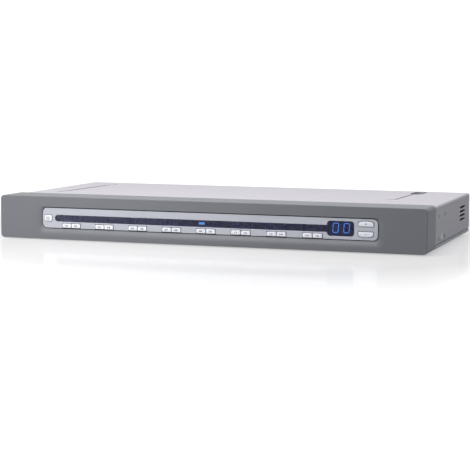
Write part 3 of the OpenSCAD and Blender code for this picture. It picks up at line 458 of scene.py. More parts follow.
def smoked(name, tint, roughness):
    """Dark tinted acrylic that lets the lamps behind it show."""
    tree, shader = new_finish(name)
    vector = object_place(tree)
    shade = mapped(tree, noise(tree, 60.0, 2.0, vector), 0.3, 0.7, 0.94, 1.06)
    tree.links.new(scaled_colour(tree, tint, shade), shader.inputs["Base Color"])
    shader.inputs["Transmission Weight"].default_value = 0.98
    shader.inputs["Roughness"].default_value = roughness
    shader.inputs["IOR"].default_value = 1.42


surface("bezel_plastic", (0.137, 0.141, 0.155), 0.34, vary=0.015, grain=0.5, bump=0.12)
# near black on the walls and floor of the panel's pocket and of the openings behind it: painted shade that
# darkens the gaps round the panel and the buttons
surface("bezel_pocket_shade", (0.012, 0.012, 0.015), 0.7, bump=0.3, specular=0.05)
surface("panel_silver", (0.43, 0.44, 0.485), 0.42, vary=0.015, grain=0.35, bump=0.2, metallic=0.35,
        speckle=0.08)
smoked("smoked_lens", (0.3, 0.3, 0.68), 0.12)
surface("key_cap", (0.72, 0.73, 0.78), 0.36, vary=0.01, grain=0.5, bump=0.06, speckle=0.01)
surface("key_ink", (0.09, 0.09, 0.12), 0.5, grain=0.3)
surface("keypad_rubber", (0.12, 0.12, 0.13), 0.75, bump=0.2)
surface("led_blue", (0.02, 0.022, 0.04), 0.6, grain=1.0, specular=0.1)
glow("lamp_lit", (0.25, 0.8, 0.72), 0.85)
glow("digit_lit", (0.2, 0.66, 0.72), 1.0)
surface("digit_unlit", (0.03, 0.035, 0.09), 0.5)
surface("display_black", (0.008, 0.014, 0.07), 0.6, grain=1.0, specular=0.05)
surface("board_green", (0.02, 0.13, 0.06), 0.4, vary=0.15, grain=2.0, speckle=0.15)
surface("power_board_tan", (0.4, 0.25, 0.11), 0.6, vary=0.1)
surface("screw_steel", (0.72, 0.72, 0.7), 0.3, metallic=1.0, grain=0.4)
surface("black_plastic", (0.025, 0.025, 0.028), 0.45, bump=0.15)
surface("rocker_black", (0.02, 0.02, 0.022), 0.25, bump=0.03)
surface("cover_paint", (0.49, 0.475, 0.505), 0.55, vary=0.012, grain=0.8, bump=0.22, speckle=0.015,
        specular=0.35)
# a darker grey in the hollows of the cover's pressed marks: painted shade in the grooves, pits and dimple
surface("pressed_painted_shade", (0.2, 0.195, 0.21), 0.6, vary=0.02, grain=0.8, bump=0.2)
surface("tray_steel", (0.44, 0.44, 0.48), 0.5, vary=0.03, grain=0.8, bump=0.2)
surface("print_dark", (0.05, 0.05, 0.055), 0.5)
surface("foot_rubber", (0.03, 0.03, 0.03), 0.8, bump=0.4)
surface("connector_steel", (0.7, 0.71, 0.73), 0.25, metallic=1.0, stretch=(1, 1, 6))
surface("insert_blue", (0.03, 0.07, 0.28), 0.4)
surface("jack_purple", (0.16, 0.08, 0.3), 0.45)
surface("jack_green", (0.07, 0.32, 0.16), 0.45)
surface("tongue_white", (0.8, 0.8, 0.78), 0.4)
surface("contact_gold", (0.8, 0.55, 0.2), 0.25, metallic=1.0)
surface("standoff_brass", (0.72, 0.55, 0.25), 0.3, metallic=1.0)
surface("chip_black", (0.03, 0.03, 0.032), 0.55)
surface("heat_aluminium", (0.62, 0.64, 0.67), 0.35, metallic=1.0, stretch=(1, 8, 1))
surface("capacitor_sleeve", (0.03, 0.035, 0.09), 0.35)
surface("transformer_tape", (0.55, 0.45, 0.08), 0.4)
surface("wire_pvc", (0.3, 0.03, 0.025), 0.4)
surface("ribbon_grey", (0.4, 0.4, 0.4), 0.5, stretch=(8, 1, 1))

# CAD nodes that keep their own mesh, under their finish, with the width of their rounded edges
DRESSED = {
    "board_green": dict(control_board=0.1, main_board=0.1),
    "power_board_tan": dict(power_board=0.1),
    "screw_steel": dict(control_board_screws=0.12, cover_screws=0.12, bezel_screws=0.12,
                        board_screws=0.12, jackscrews=0.2),
    "black_plastic": dict(ribbon_headers=0.2, port_jack_inserts=0.12, power_inlet=0.4,
                          power_switch_frame=0.3),
    "tray_steel": dict(chassis_tray=0.15),
    "ribbon_grey": dict(ribbon_cable=0.2),
    "connector_steel": dict(port_jack_shields=0.1, video_jack_shell=0.2, chain_jack_shell=0.2,
                            usb_jack_shell=0.15, inlet_pins=0.3),
    "contact_gold": dict(port_jack_contacts=0.05),
    "standoff_brass": dict(board_standoffs=0.15),
    "chip_black": dict(switch_chips=0.15),
    "heat_aluminium": dict(heat_sink=0.15),
    "capacitor_sleeve": dict(board_capacitors=0.4, power_capacitors=0.6),
    "transformer_tape": dict(power_transformer=0.5),
    "rocker_black": dict(power_rocker=0.4),
    "wire_pvc": dict(power_wires=0.1),
}


# -------- front outlines

def pocket_outline(spread=0.0, top=0.0, bottom=0.0):
    """The outline of the panel's pocket, grown by different widths at its ends, top and bottom."""
    left, right = PANEL_X0 - POCKET_GAP_LEFT - spread, PANEL_X1 + POCKET_GAP_RIGHT + spread
    low, high = PANEL_Z0 - PANEL_GAP - bottom, PANEL_Z1 + PANEL_GAP + top
    centre = ((left + right) / 2, (low + high) / 2)
    return rounded_rect(centre, right - left, high - low, PANEL_CORNER_R + PANEL_GAP, steps=8)


def lens_outline(grow):
    """A long strip with a round left end that runs into the number window."""
    left, right = LENS_X0 - grow, LENS_X1 + grow
    window_left = LENS_X1 - WINDOW_W - grow
    low, high = LENS_Z0 - grow, LENS_Z1 + grow
    strip_low, strip_high = STRIP_MID_Z - STRIP_H / 2 - grow, STRIP_MID_Z + STRIP_H / 2 + grow
    end_r = STRIP_H / 2 + grow - 0.01
    window_r = WINDOW_R + grow
    return rounded([
        (left, strip_low, end_r), (window_left, strip_low, WINDOW_JOIN_R), (window_left, low, window_r),
        (right, low, window_r), (right, high, window_r), (window_left, high, window_r),
        (window_left, strip_high, WINDOW_JOIN_R), (left, strip_high, end_r)], steps=7)


def face_size(node):
    """Centre, width and height of a node's box, seen from the front."""
    low, high = box(node)
    return ((low[0] + high[0]) / 2, (low[2] + high[2]) / 2), high[0] - low[0], high[2] - low[2]


def cap_size(node):
    """Centre, width and height of a button's cap: its node's box is set by the flange behind the cap."""
    centre, width, height = face_size(node)
    return centre, width - 2 * FLANGE_SIDE, height - 2 * FLANGE_LIP


def bank_outline(node, grow):
    """Flat on the inner side and arched on the outer side."""
    (u, v), width, height = cap_size(node)
    w, h = width / 2, height / 2
    arch_r = (w * w + BANK_SAGITTA ** 2) / (2 * BANK_SAGITTA)
    arch_v = h - arch_r
    outer_u, inner_u, inner_v = w - BANK_OUTER_R, w - BANK_INNER_R, BANK_INNER_R - h
    outer_v = arch_v + math.sqrt((arch_r - BANK_OUTER_R) ** 2 - outer_u ** 2)
    lean = math.degrees(math.atan2(outer_v - arch_v, outer_u))
    outline = (arc((inner_u, inner_v), BANK_INNER_R + grow, -90, 0, 5)
               + arc((outer_u, outer_v), BANK_OUTER_R + grow, 0, lean, 6)
               + arc((0, arch_v), arch_r + grow, lean, 180 - lean, 10)[1:-1]
               + arc((-outer_u, outer_v), BANK_OUTER_R + grow, 180 - lean, 180, 6)
               + arc((-inner_u, inner_v), BANK_INNER_R + grow, 180, 270, 5))
    turn = 1 if node == BANK_BUTTONS[0] else -1
    return [(u + turn * a, v + turn * b) for a, b in outline]


def button_outline(node, grow):
    """A cap's outline, moved outwards by grow."""
    centre, width, height = cap_size(node)
    if node in BANK_BUTTONS:
        return bank_outline(node, grow)
    radius = CAP_R if node in PORT_BUTTONS else RESET_R
    return rounded_rect(centre, width + 2 * grow, height + 2 * grow, radius + grow)


def button_hole(node):
    """The opening round a cap."""
    return button_outline(node, BANK_GAP if node in BANK_BUTTONS else CAP_GAP)


def pairs():
    """Left, right, lower and upper edge of each pair of port buttons' caps."""
    for left, right in zip(PORT_BUTTONS[::2], PORT_BUTTONS[1::2]):
        (u0, v), width, height = cap_size(left)
        (u1, _), _, _ = cap_size(right)
        yield u0 - width / 2, u1 + width / 2, v - height / 2, v + height / 2


# -------- front pieces

def bezel_holes():
    """Openings through the bezel's front wall, behind the buttons and the lens."""
    holes = []
    for left, right, low, high in pairs():
        centre = ((left + right) / 2, (low + high) / 2)
        width = right - left + 2 * CAP_GAP
        holes.append(rounded_rect(centre, width, high - low + 2 * CAP_GAP, 0.3, 2))
        holes.append(rounded_rect((centre[0], STRIP_MID_Z), width, STRIP_H - 2 * STRIP_REST, 0.3, 2))
    window_centre = (LENS_X1 - WINDOW_W / 2, (LENS_Z0 + LENS_Z1) / 2)
    holes.append(rounded_rect(window_centre, WINDOW_W - 2 * WINDOW_REST[0],
                              LENS_Z1 - LENS_Z0 - 2 * WINDOW_REST[1], 1.0, 4))
    for node in BANK_BUTTONS + ["reset_button"]:
        holes.append(button_hole(node))
    return holes


def add_boss(shell, centre, outer_r, hole_r, end, hole_l):
    """A screw boss behind the bezel's front wall, with a blind hole in its end."""
    root = BEZEL_FRONT + BEZEL_FRONT_WALL - 0.5
    shell.turned(at_y, centre, [(outer_r + 0.5, root), (outer_r, root + 1.5), (outer_r, end - 0.2),
                                (outer_r - 0.2, end), (hole_r, end), (hole_r, end - hole_l)], 24)


def make_bezel():
    """One closed moulding: rounded outside, a dished front round the panel's pocket, and bosses."""
    shell = Shell()
    centre, width, height = face_size("front_bezel")
    outside = rounded_rect(centre, width, height, BEZEL_CORNER_R, steps=8)
    inside = rounded_rect(centre, width - 2 * BEZEL_WALL, height - 2 * BEZEL_WALL,
                          BEZEL_CORNER_R - BEZEL_WALL, steps=8)
    profile = (edge_profile(BEZEL_BACK, -1, BEZEL_BACK_ROUND)[::-1]
               + edge_profile(BEZEL_FRONT, 1, BEZEL_FRONT_ROUND, steps=5))
    outer = shell.stack(outside, at_y, profile)

    dish = []
    for k in range(DISH_STEPS + 1):
        out = 1 - k / DISH_STEPS
        outline = pocket_outline(DISH_SIDES * out, DISH_TOP * out, DISH_BOTTOM * out)
        dish.append(shell.ring(outline, at_y, BEZEL_FRONT + DISH_DEPTH * (1 - out) ** 2))
    shell.loft(dish)
    shell.fill(outer[-1], dish[0])

    # the pocket's walls and floor and the openings' walls take the second finish, near black: painted shade
    # in these gaps
    shell.colour = 1
    pocket = shell.ring(pocket_outline(), at_y, PANEL_BACK)
    shell.bridge(dish[-1], pocket)
    back_wall = BEZEL_FRONT + BEZEL_FRONT_WALL
    near, far = [], []
    for outline in bezel_holes():
        near.append(shell.ring(outline, at_y, PANEL_BACK))
        far.append(shell.ring(outline, at_y, back_wall))
        shell.bridge(near[-1], far[-1])
    shell.fill(pocket, *near)
    shell.colour = 0
    inner = [shell.ring(inside, at_y, back_wall), shell.ring(inside, at_y, BEZEL_BACK)]
    shell.loft(inner)
    shell.fill(inner[0], *far)
    shell.fill(outer[0], inner[1])

    for x in (BEZEL_X0 + CASE_BOSS_IN, BEZEL_X1 - CASE_BOSS_IN):
        for z in CASE_BOSS_Z:
            add_boss(shell, (x, z), outer_r=3.6, hole_r=1.5, end=COVER_FRONT - TOUCH_GAP, hole_l=12)
    for x in BOARD_BOSS_X:
        for z in BOARD_BOSS_Z:
            add_boss(shell, (x, z), outer_r=2.6, hole_r=1.2, end=MAT_WEB - TOUCH_GAP, hole_l=5.5)
    piece("bezel", shell, ["bezel_plastic", "bezel_pocket_shade"], replaces=["front_bezel"])


def make_panel():
    """The silver panel; each pair's opening is a notch in its lower edge."""
    corners = [(PANEL_X0, PANEL_Z0, PANEL_CORNER_R)]
    for left, right, _, high in pairs():
        u0, u1, top = left - CAP_GAP, right + CAP_GAP, high + CAP_GAP
        corners += [(u, v, NOTCH_R) for u, v in ((u0, PANEL_Z0), (u0, top), (u1, top), (u1, PANEL_Z0))]
    corners += [(PANEL_X1, PANEL_Z0, PANEL_CORNER_R), (PANEL_X1, PANEL_Z1, PANEL_CORNER_R),
                (PANEL_X0, PANEL_Z1, PANEL_CORNER_R)]
    holes = [lens_outline(LENS_GAP)]
    holes += [button_hole(node) for node in BANK_BUTTONS + ["reset_button"]]
    shell = Shell()
    shell.plate(at_y, rounded(corners), holes, PANEL_FRONT, PANEL_BACK, front_round=PANEL_ROUND)
    piece("panel", shell, ["panel_silver"], replaces=["trim_panel"])


def make_lens():
    """The smoked strip and window, one plate."""
    shell = Shell()
    shell.plate(at_y, lens_outline(0), [], LENS_FRONT, PANEL_BACK - 0.02, front_round=0.15)
    piece("lens", shell, ["smoked_lens"], replaces=["display_lens"])


def make_button(node):
    """A crowned cap that widens into its rear flange and ends in the stem that presses the dome."""
    centre, _, _ = cap_size(node)
    front, stem_end = box(node)[0][1], box(node)[1][1]
    flange = BEZEL_FRONT + BEZEL_FRONT_WALL + TOUCH_GAP
    outline = button_outline(node, 0)

    def crown(share):
        inner = grown(outline, -CAP_ROUND)
        return [(centre[0] + (u - centre[0]) * share, centre[1] + (v - centre[1]) * share) for u, v in inner]

    wide = [(u + math.copysign(FLANGE_SIDE, u - centre[0]), v + math.copysign(FLANGE_LIP, v - centre[1]))
            for u, v in outline]
    angles = [math.atan2(v - centre[1], u - centre[0]) for u, v in outline]
    stem = [(centre[0] + STEM_R * math.cos(a), centre[1] + STEM_R * math.sin(a)) for a in angles]

    shell = Shell()
    levels = [(crown(k / 5), front + CAP_CROWN * (k / 5) ** 2) for k in range(1, 5)]
    turn = edge_profile(front + CAP_CROWN, 1, CAP_ROUND, steps=4)[::-1]
    levels += [(grown(outline, -inset), depth) for inset, depth in turn]
    levels += [(outline, flange), (wide, flange), (wide, flange + FLANGE_T), (stem, flange + FLANGE_T),
               (stem, stem_end - 0.3), (grown(stem, -0.3), stem_end)]
    rings = [shell.ring(loop, at_y, depth) for loop, depth in levels]
    shell.loft(rings)
    shell.fill(rings[0])
    shell.fill(rings[-1])
    piece(f"{node}_cap", shell, ["key_cap"], body=node, replaces=[node])


def lettering(name, text, centre, height, face, lift, finish, body=CASE, stretch=1.0, behind=False):
    """Figures that stand out by lift from a face at depth face; behind turns them to the rear."""
    curve = bpy.data.curves.new(name, "FONT")
    curve.body = text
    curve.size = height / 0.72
    curve.align_x = "CENTER"
    curve.align_y = "CENTER"
    curve.extrude = lift / 2
    curve.offset = height * 0.03
    curve.resolution_u = 3
    source = new_object(name + "_source", curve)
    bpy.context.view_layer.update()
    mesh = bpy.data.meshes.new_from_object(source)
    bpy.data.objects.remove(source)
    spans = [[vertex.co[k] for vertex in mesh.vertices] for k in (0, 1)]
    shift = [-(min(span) + max(span)) / 2 for span in spans]
    turn = Matrix.Rotation(math.pi / 2, 4, "X")
    if behind:
        turn = Matrix.Rotation(math.pi, 4, "Z") @ turn
    mesh.transform(Matrix.Scale(MM, 4) @ Matrix.Translation((centre[0], face, centre[1])) @ turn
                   @ Matrix.Diagonal((stretch, 1, 1, 1)) @ Matrix.Translation((*shift, 0)))
    mesh.materials.clear()
    mesh.materials.append(FINISH[finish])
    made = new_object(name, mesh)
    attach(made, body)


def make_cap_marks():
    """Port numbers on the caps, plus and minus on the bank buttons, and a circular mark on reset."""
    size = 1.7
    for port, node in enumerate(PORT_BUTTONS, 1):
        centre, _, _ = cap_size(node)
        lettering(f"mark_{node}", f"{port:02d}", centre, height=size, face=box(node)[0][1] + 0.02,
                  lift=0.14, finish="key_ink", body=node, stretch=1.5)
    for node in BANK_BUTTONS:
        centre, _, _ = cap_size(node)
        face = box(node)[0][1]
        shell = Shell()
        bars = [(size, 0.45)] if node == BANK_BUTTONS[1] else [(size, 0.45), (0.45, size)]
        for width, height in bars:
            shell.plate(at_y, rounded_rect(centre, width, height, 0.1, 2), [], face - MARK_LIFT,
                        face + MARK_ROOT, front_round=0.03)
        piece(f"mark_{node}", shell, ["key_ink"], body=node)
    centre, _, _ = cap_size("reset_button")
    face = box("reset_button")[0][1]
    shell = Shell()
    gap, ring_r, line = 38, 1.45, 0.28
    ring = (arc(centre, ring_r + line, 90 + gap, 450 - gap, 20)
            + arc(centre, ring_r - line, 450 - gap, 90 + gap, 20))
    tick = rounded_rect((centre[0], centre[1] + ring_r * 0.75), 0.4, 1.5, 0.08, 2)
    for outline in (ring, tick):
        shell.plate(at_y, outline, [], face - MARK_LIFT, face + MARK_ROOT, front_round=0.0)
    piece("mark_reset_button", shell, ["key_ink"], body="reset_button")


def make_lamps():
    """Rectangular lamps behind the strip; the one of the selected port is lit."""
    low, high = box("port_leds")
    z = (low[2] + high[2]) / 2
    face, neck, back = low[1], low[1] + LAMP_TIP, high[1]
    unlit, lit = Shell(), Shell()
    for port, node in enumerate(PORT_BUTTONS, 1):
        x = cap_size(node)[0][0]
        outline = rounded_rect((x, z), LAMP_W, LAMP_H, 0.5)
        rim = rounded_rect((x, z), LAMP_W + 2 * LAMP_RIM, LAMP_H + 2 * LAMP_RIM, 0.4)
        if port == LIT_PORT:
            lit.plate(at_y, outline, [], face, neck, front_round=0.35)
            unlit.plate(at_y, outline, [], neck + TOUCH_GAP, back - 0.5, front_round=0.0)
        else:
            unlit.plate(at_y, outline, [], face, back - 0.5, front_round=0.35)
        unlit.plate(at_y, rim, [], back - 1, back, front_round=0.15)
    piece("lamps", unlit, ["led_blue"], replaces=["port_leds"])
    piece("lamp_lit", lit, ["lamp_lit"], replaces=["port_leds"])


def bar(shell, start, end, face):
    """One raised bar of a digit, with pointed ends, from start to end on the display's face."""
    a, b = Vector(start), Vector(end)
    run = (b - a).normalized()
    side = Vector((-run.y, run.x)) * BAR_W / 2
    a, b = a + run * BAR_GAP, b - run * BAR_GAP
    tip = run * BAR_W / 2
    outline = [a, a + tip - side, b - tip - side, b, b - tip + side, a + tip + side]
    shell.plate(at_y, [tuple(p) for p in outline], [], face - BAR_RISE, face + 0.2, front_round=0.12)


def make_display():
    """The number display: a black block with seven raised bars in each of its two digits."""
    low, high = box("digit_display")
    centre, width, height = face_size("digit_display")
    body = Shell()
    body.plate(at_y, rounded_rect(centre, width, height, 0.4), [], low[1], high[1], front_round=0.25)
    piece("display_body", body, ["display_black"], replaces=["digit_display"])
    lit, unlit = Shell(), Shell()
    for digit in (-0.5, 0.5):
        middle_x = centre[0] + digit * DIGIT_PITCH

        def corner(column, row):
            v = row * DIGIT_H / 2
            return (middle_x + column * DIGIT_W / 2 + v * math.tan(DIGIT_SLANT), centre[1] + v)

        for row in (-1, 1):
            bar(lit, corner(-1, row), corner(1, row), low[1])
            for column in (-1, 1):
                bar(lit, corner(column, 0), corner(column, row), low[1])
        bar(unlit, corner(-1, 0), corner(1, 0), low[1])
    piece("digits_lit", lit, ["digit_lit"], replaces=["digit_display"])
    piece("digits_unlit", unlit, ["digit_unlit"], replaces=["digit_display"])


def make_keypad():
    """The silicone mat and, as pieces with meshes of their own, its domes; on the real keypad the domes
    flatten when pressed.
    """
    low, high = box("keypad_mat")
    reset, bank = cap_size("reset_button")[0], cap_size(BANK_BUTTONS[0])[0]
    last = cap_size(PORT_BUTTONS[-1])[0]
    lobe = 5.5
    row_top, neck_top, reset_top, bank_top = last[1] + 3.2, last[1] - 0.6, reset[1] + 4.2, bank[1] + 4.2
    corners = [(low[0], low[2]), (high[0], low[2]), (high[0], bank_top), (bank[0] - lobe, bank_top),
               (bank[0] - lobe, neck_top), (last[0] + lobe, neck_top), (last[0] + lobe, row_top),
               (reset[0] + lobe, row_top), (reset[0] + lobe, reset_top), (low[0], reset_top)]
    mat = Shell()
    web = MAT_WEB - MAT_T
    mat.plate(at_y, rounded([(u, v, 0.4) for u, v in corners]), [], web, MAT_WEB)
    piece("keypad_web", mat, ["keypad_rubber"], replaces=["keypad_mat"])
    for node in BUTTONS:
        centre, _, _ = cap_size(node)
        tip = web - DOME_H
        shell = Shell()
        profile = [(DOME_R + 0.3, web + 0.1), (DOME_R + 0.3, web - 0.15), (DOME_R - 0.1, web - 0.4),
                   (STEM_R + 0.35, tip + 0.9), (STEM_R + 0.1, tip + 0.7), (STEM_R, tip + 0.15),
                   (STEM_R - 0.2, tip)]
        shell.turned(at_y, centre, profile, 28)
        dome = piece(f"dome_{node}", shell, ["keypad_rubber"], replaces=["keypad_mat"])
        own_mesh(dome)


# -------- case

VENT_L = 30.0
VENT_H = 2.2
VENT_PITCH = 4.25
VENT_Y = BEZEL_FRONT + 185
VENT_Z = BEZEL_Z0 + 23.9
BRACKET_Y = BEZEL_FRONT + 72.6
BRACKET_Z = BEZEL_Z0 + 20.4
BRACKET_L = 30.0
BRACKET_H = 21.5
BRACKET_HOLE_R = 2.0
SIDE_SCREW_Z = BEZEL_Z0 + 10.4
SIDE_SCREW_R = 1.7
SEAT_WIDENING = 1.15
SEAT_DEPTH = 0.9
LEFT_GROOVE = [(-193, 80), (-188, 96), (-184, 181.9)]
LEFT_GROOVE_W = 3.0
LEFT_PITS = [(-182.8, 187), (-181.4, 201)]
PIT_R = 2.6
RIGHT_GROOVE = [(158, 104), (164.5, 112), (167.5, 182)]
RIGHT_GROOVE_W = 2.0
DIMPLE = (169.5, 202.0, 13.5, 36.0)
COVER_TAB_X = (-165, 10, 132)


def side_holes():
    """Holes of a side as (outline in (y, z), widening, depth of its rim): for the bracket, vents, screw."""
    outlines = [circle((BRACKET_Y + dy * BRACKET_L / 2, BRACKET_Z + dz * BRACKET_H / 2), BRACKET_HOLE_R, 24)
                for dy in (-1, 1) for dz in (-1, 1)]
    outlines += [rounded_rect((VENT_Y, VENT_Z + k * VENT_PITCH), VENT_L, VENT_H, VENT_H / 2 - 0.01)
                 for k in (-1.5, -0.5, 0.5, 1.5)]
    holes = [(outline, 0.15, 0.15) for outline in outlines]
    return holes + [(circle((BRACKET_Y, SIDE_SCREW_Z), SIDE_SCREW_R, 32), SEAT_WIDENING, SEAT_DEPTH)]


def pressed_marks():
    """Outlines of the pressed marks on the cover's top, with the (inset, depth) profile of each."""
    def shifted(points):
        return [(u, BEZEL_FRONT + v) for u, v in points]

    soft = [(-0.15, 0), (0, 0.08), (0.12, 0.62), (0.3, 0.72)]
    deep = [(-0.4, 0), (-0.1, 0.08), (0.2, 0.5), (0.5, 1.5), (1.0, 2.05), (1.8, 2.2)]
    pit = [(-0.3, 0), (-0.1, 0.06), (0.2, 0.5), (0.6, 0.78), (1.0, 0.8)]
    marks = [(buffered(shifted(LEFT_GROOVE), LEFT_GROOVE_W), soft),
             (buffered(shifted(RIGHT_GROOVE), RIGHT_GROOVE_W), soft)]
    marks += [(circle(point, PIT_R, 28), pit) for point in shifted(LEFT_PITS)]
    x, d, width, length = DIMPLE
    marks.append((rounded_rect((x, BEZEL_FRONT + d), width, length, width / 2 - 0.01, 10), deep))
    return marks


def make_cover():
    """The folded cover: a U of sheet steel with holes and vents in its sides and pressed marks on top."""
    shell = Shell()
    steps = 6
    w, t, e, top, seam = COVER_X1, SHEET_T, SHEET_EDGE_R, COVER_TOP, COVER_Z0 + SEAM_GAP
    section = rounded([
        (w, seam, e), (w, top, COVER_BEND_R), (-w, top, COVER_BEND_R), (-w, seam, e), (t - w, seam, e),
        (t - w, top - t, COVER_BEND_R - t), (w - t, top - t, COVER_BEND_R - t), (w - t, seam, e)], steps)
    front = edge_profile(COVER_FRONT, 1, e)
    back = edge_profile(REAR, -1, e)
    rings = [shell.ring(grown(section, -inset), at_y, depth) for inset, depth in front[::-1] + back]
    last_of = [k * (steps + 1) + steps for k in range(8)]
    flats = [last_of[k] for k in (0, 1, 2, 4, 5, 6)]
    for index in range(len(rings) - 1):
        shell.bridge(rings[index], rings[index + 1], skip=flats if index == len(front) - 1 else ())
    shell.fill(rings[0])
    shell.fill(rings[-1])
    near, far = rings[len(front) - 1], rings[len(front)]

    def flat(corner, *holes):
        i = last_of[corner]
        j = (i + 1) % len(section)
        shell.fill([near[i], near[j], far[j], far[i]], *holes)

    for side, outer_corner, inner_corner in ((1, 0, 6), (-1, 2, 4)):
        outer, inner = side * w, side * (w - t)
        starts, ends = [], []
        for outline, widening, depth in side_holes():
            rim = [(-widening, outer), (0, outer - side * depth), (0, inner)]
            stack = shell.stack(outline, at_x, rim)
            starts.append(stack[0])
            ends.append(stack[-1])
        flat(outer_corner, *starts)
        flat(inner_corner, *ends)

    rims = []
    # the pressed marks' walls and floors take the second finish, a darker grey: painted shade in their
    # hollows
    shell.colour = 1
    for outline, profile in pressed_marks():
        rims.append(shell.blind(outline, at_z, [(inset, top - depth) for inset, depth in profile]))
    shell.colour = 0
    flat(1, *rims)
    dimple_outline, _ = pressed_marks()[-1]
    flat(5, shell.blind(dimple_outline, at_z, [(-0.9, top - t), (-0.4, top - 2.2), (0.5, top - 3.0)]))

    for x in COVER_TAB_X:
        z1, z0 = top - t - 0.02, top - t - 8
        tab = rounded_rect((x, (z0 + z1) / 2), 12, z1 - z0, 0.3, 2)
        shell.plate(at_y, tab, [circle((x, top - t - 4.8), 1.5, 20)], REAR - 2 * t - 0.1, REAR - t - 0.1,
                    front_round=0.1, back_round=0.1)
    piece("cover", shell, ["cover_paint", "pressed_painted_shade"], replaces=["top_cover"])


def make_feet():
    """Four moulded feet, each with a bevelled rim and a shallow ring in its sole."""
    low, high = box("rubber_feet")
    radius = 6
    shell = Shell()
    profile = [(radius - 0.4, high[2]), (radius - 0.4, high[2] - 0.3), (radius, high[2] - 0.5),
               (radius, low[2] + 0.5), (radius - 0.4, low[2]), (radius - 2, low[2]),
               (radius - 2.4, low[2] + 0.4), (1, low[2] + 0.4)]
    for x in (low[0] + radius, high[0] - radius):
        for y in (low[1] + radius, high[1] - radius):
            shell.turned(at_z, (x, y), profile)
    piece("feet", shell, ["foot_rubber"], replaces=["rubber_feet"])


# -------- rear pieces

JACK_BLOCK_X = (-122, -52)
JACK_PITCH = 13.97
D_CORNER_R = 2.2
D_SHELL_H = 8.4
D_SLANT = 0.75
D_SKIN = 0.75
D_MID = 6.6
DIN_WELL_R = 4.75
DIN_POST_R = 3.4
DIN_WELL_L = 7.0
DIN_POST_RECESS = 0.4
DIN_KEY_W = 2.2
DIN_KEY_TOP = 1.9
DIN_PIN_RING_R = 2.2


def d_outline(centre, width):
    """The D shape of a contact block, wide edge up."""
    half_w, half_h, r = width / 2 - D_SKIN, D_SHELL_H / 2 - D_SKIN, D_CORNER_R - D_SKIN
    u, v = centre
    return rounded([(u - half_w + 2 * D_SLANT, v - half_h, r), (u + half_w - 2 * D_SLANT, v - half_h, r),
                    (u + half_w, v + half_h, r), (u - half_w, v + half_h, r)])


def make_contact_block(node, finish, width, rows, pitch, row_pitch):
    """A D connector's contact block with its pin holes, and the plastic body behind its flange."""
    low, high = box(node)
    centre = ((low[0] + high[0]) / 2, low[2] + D_MID)
    flange = REAR - SHEET_T - TOUCH_GAP - 0.8
    pin_r, pin_l = 0.52, 4
    shell = Shell()
    holes = []
    for index, count in enumerate(rows):
        v = centre[1] + ((len(rows) - 1) / 2 - index) * row_pitch
        holes += [circle((centre[0] + (k - (count - 1) / 2) * pitch, v), pin_r, 12) for k in range(count)]
    face, step = high[1], 0.15
    outer = shell.stack(d_outline(centre, width), at_y, [(0, flange), (0, face - step), (step, face)])
    rims = []
    for hole in holes:
        rims.append(shell.blind(hole, at_y, [(-step, face), (0, face - step), (0, face - pin_l)]))
    shell.fill(outer[-1], *rims)
    shell.fill(outer[0])
    shell.plate(at_y, rounded_rect(*face_size(node), 0.5), [], flange - 0.02, low[1], back_round=0.4)
    piece(f"{node}_block", shell, [finish], replaces=[node])


def make_din_jack(node, finish):
    """A round six-way socket: a square body, a ring well, and a post with pin holes and a keyway."""
    low, high = box(node)
    centre, width, height = face_size(node)
    face = high[1]
    floor = face - DIN_WELL_L
    post_face = face - DIN_POST_RECESS
    shell = Shell()
    body = rounded_rect(centre, width, height, 0.6)
    outer = shell.stack(body, at_y, [(0.3, low[1]), (0, low[1] + 0.3), (0, face - 0.3), (0.3, face)])
    shell.fill(outer[0])
    well = shell.stack(circle(centre, DIN_WELL_R, 40), at_y, [(-0.25, face), (0, face - 0.25), (0, floor)])
    shell.fill(outer[-1], well[0])
    key = math.degrees(math.asin(DIN_KEY_W / 2 / DIN_POST_R))
    post_outline = (arc(centre, DIN_POST_R, -90 + key, 270 - key, 30)
                    + [(centre[0] + k * DIN_KEY_W / 2, centre[1] - DIN_KEY_TOP) for k in (-1, 1)])
    post = shell.stack(post_outline, at_y, [(0, floor), (0, post_face - 0.15), (0.15, post_face)])
    shell.fill(well[-1], post[0])
    rims = []
    for angle in (25, 155, 65, 115, -30, 210):
        spot = arc(centre, DIN_PIN_RING_R, angle, angle + 1, 1)[0]
        rims.append(shell.blind(circle(spot, 0.42, 12), at_y, [(0, post_face), (0, post_face - 3)]))
    shell.fill(post[-1], *rims)
    piece(f"{node}_socket", shell, [finish], replaces=[node])


def make_usb_tongues():
    """Two tongues, each with four gold contacts along its lower face."""
    low, high = box("usb_jack_tongues")
    tall, pitch = 1.9, 2.3
    shell = Shell()
    for z0 in (low[2], high[2] - tall):
        centre = ((low[0] + high[0]) / 2, z0 + tall / 2)
        shell.colour = 0
        shell.plate(at_y, rounded_rect(centre, high[0] - low[0], tall, 0.2, 2), [], low[1], high[1],
                    front_round=0.0, back_round=0.3)
        shell.colour = 1
        for k in (-1.5, -0.5, 0.5, 1.5):
            spot = (centre[0] + k * pitch, z0)
            shell.plate(at_y, rounded_rect(spot, 1.1, 0.2, 0.05, 1), [], low[1] + 1, high[1] - 0.8,
                        front_round=0.0)
    piece("usb_tongues", shell, ["tongue_white", "contact_gold"], replaces=["usb_jack_tongues"])


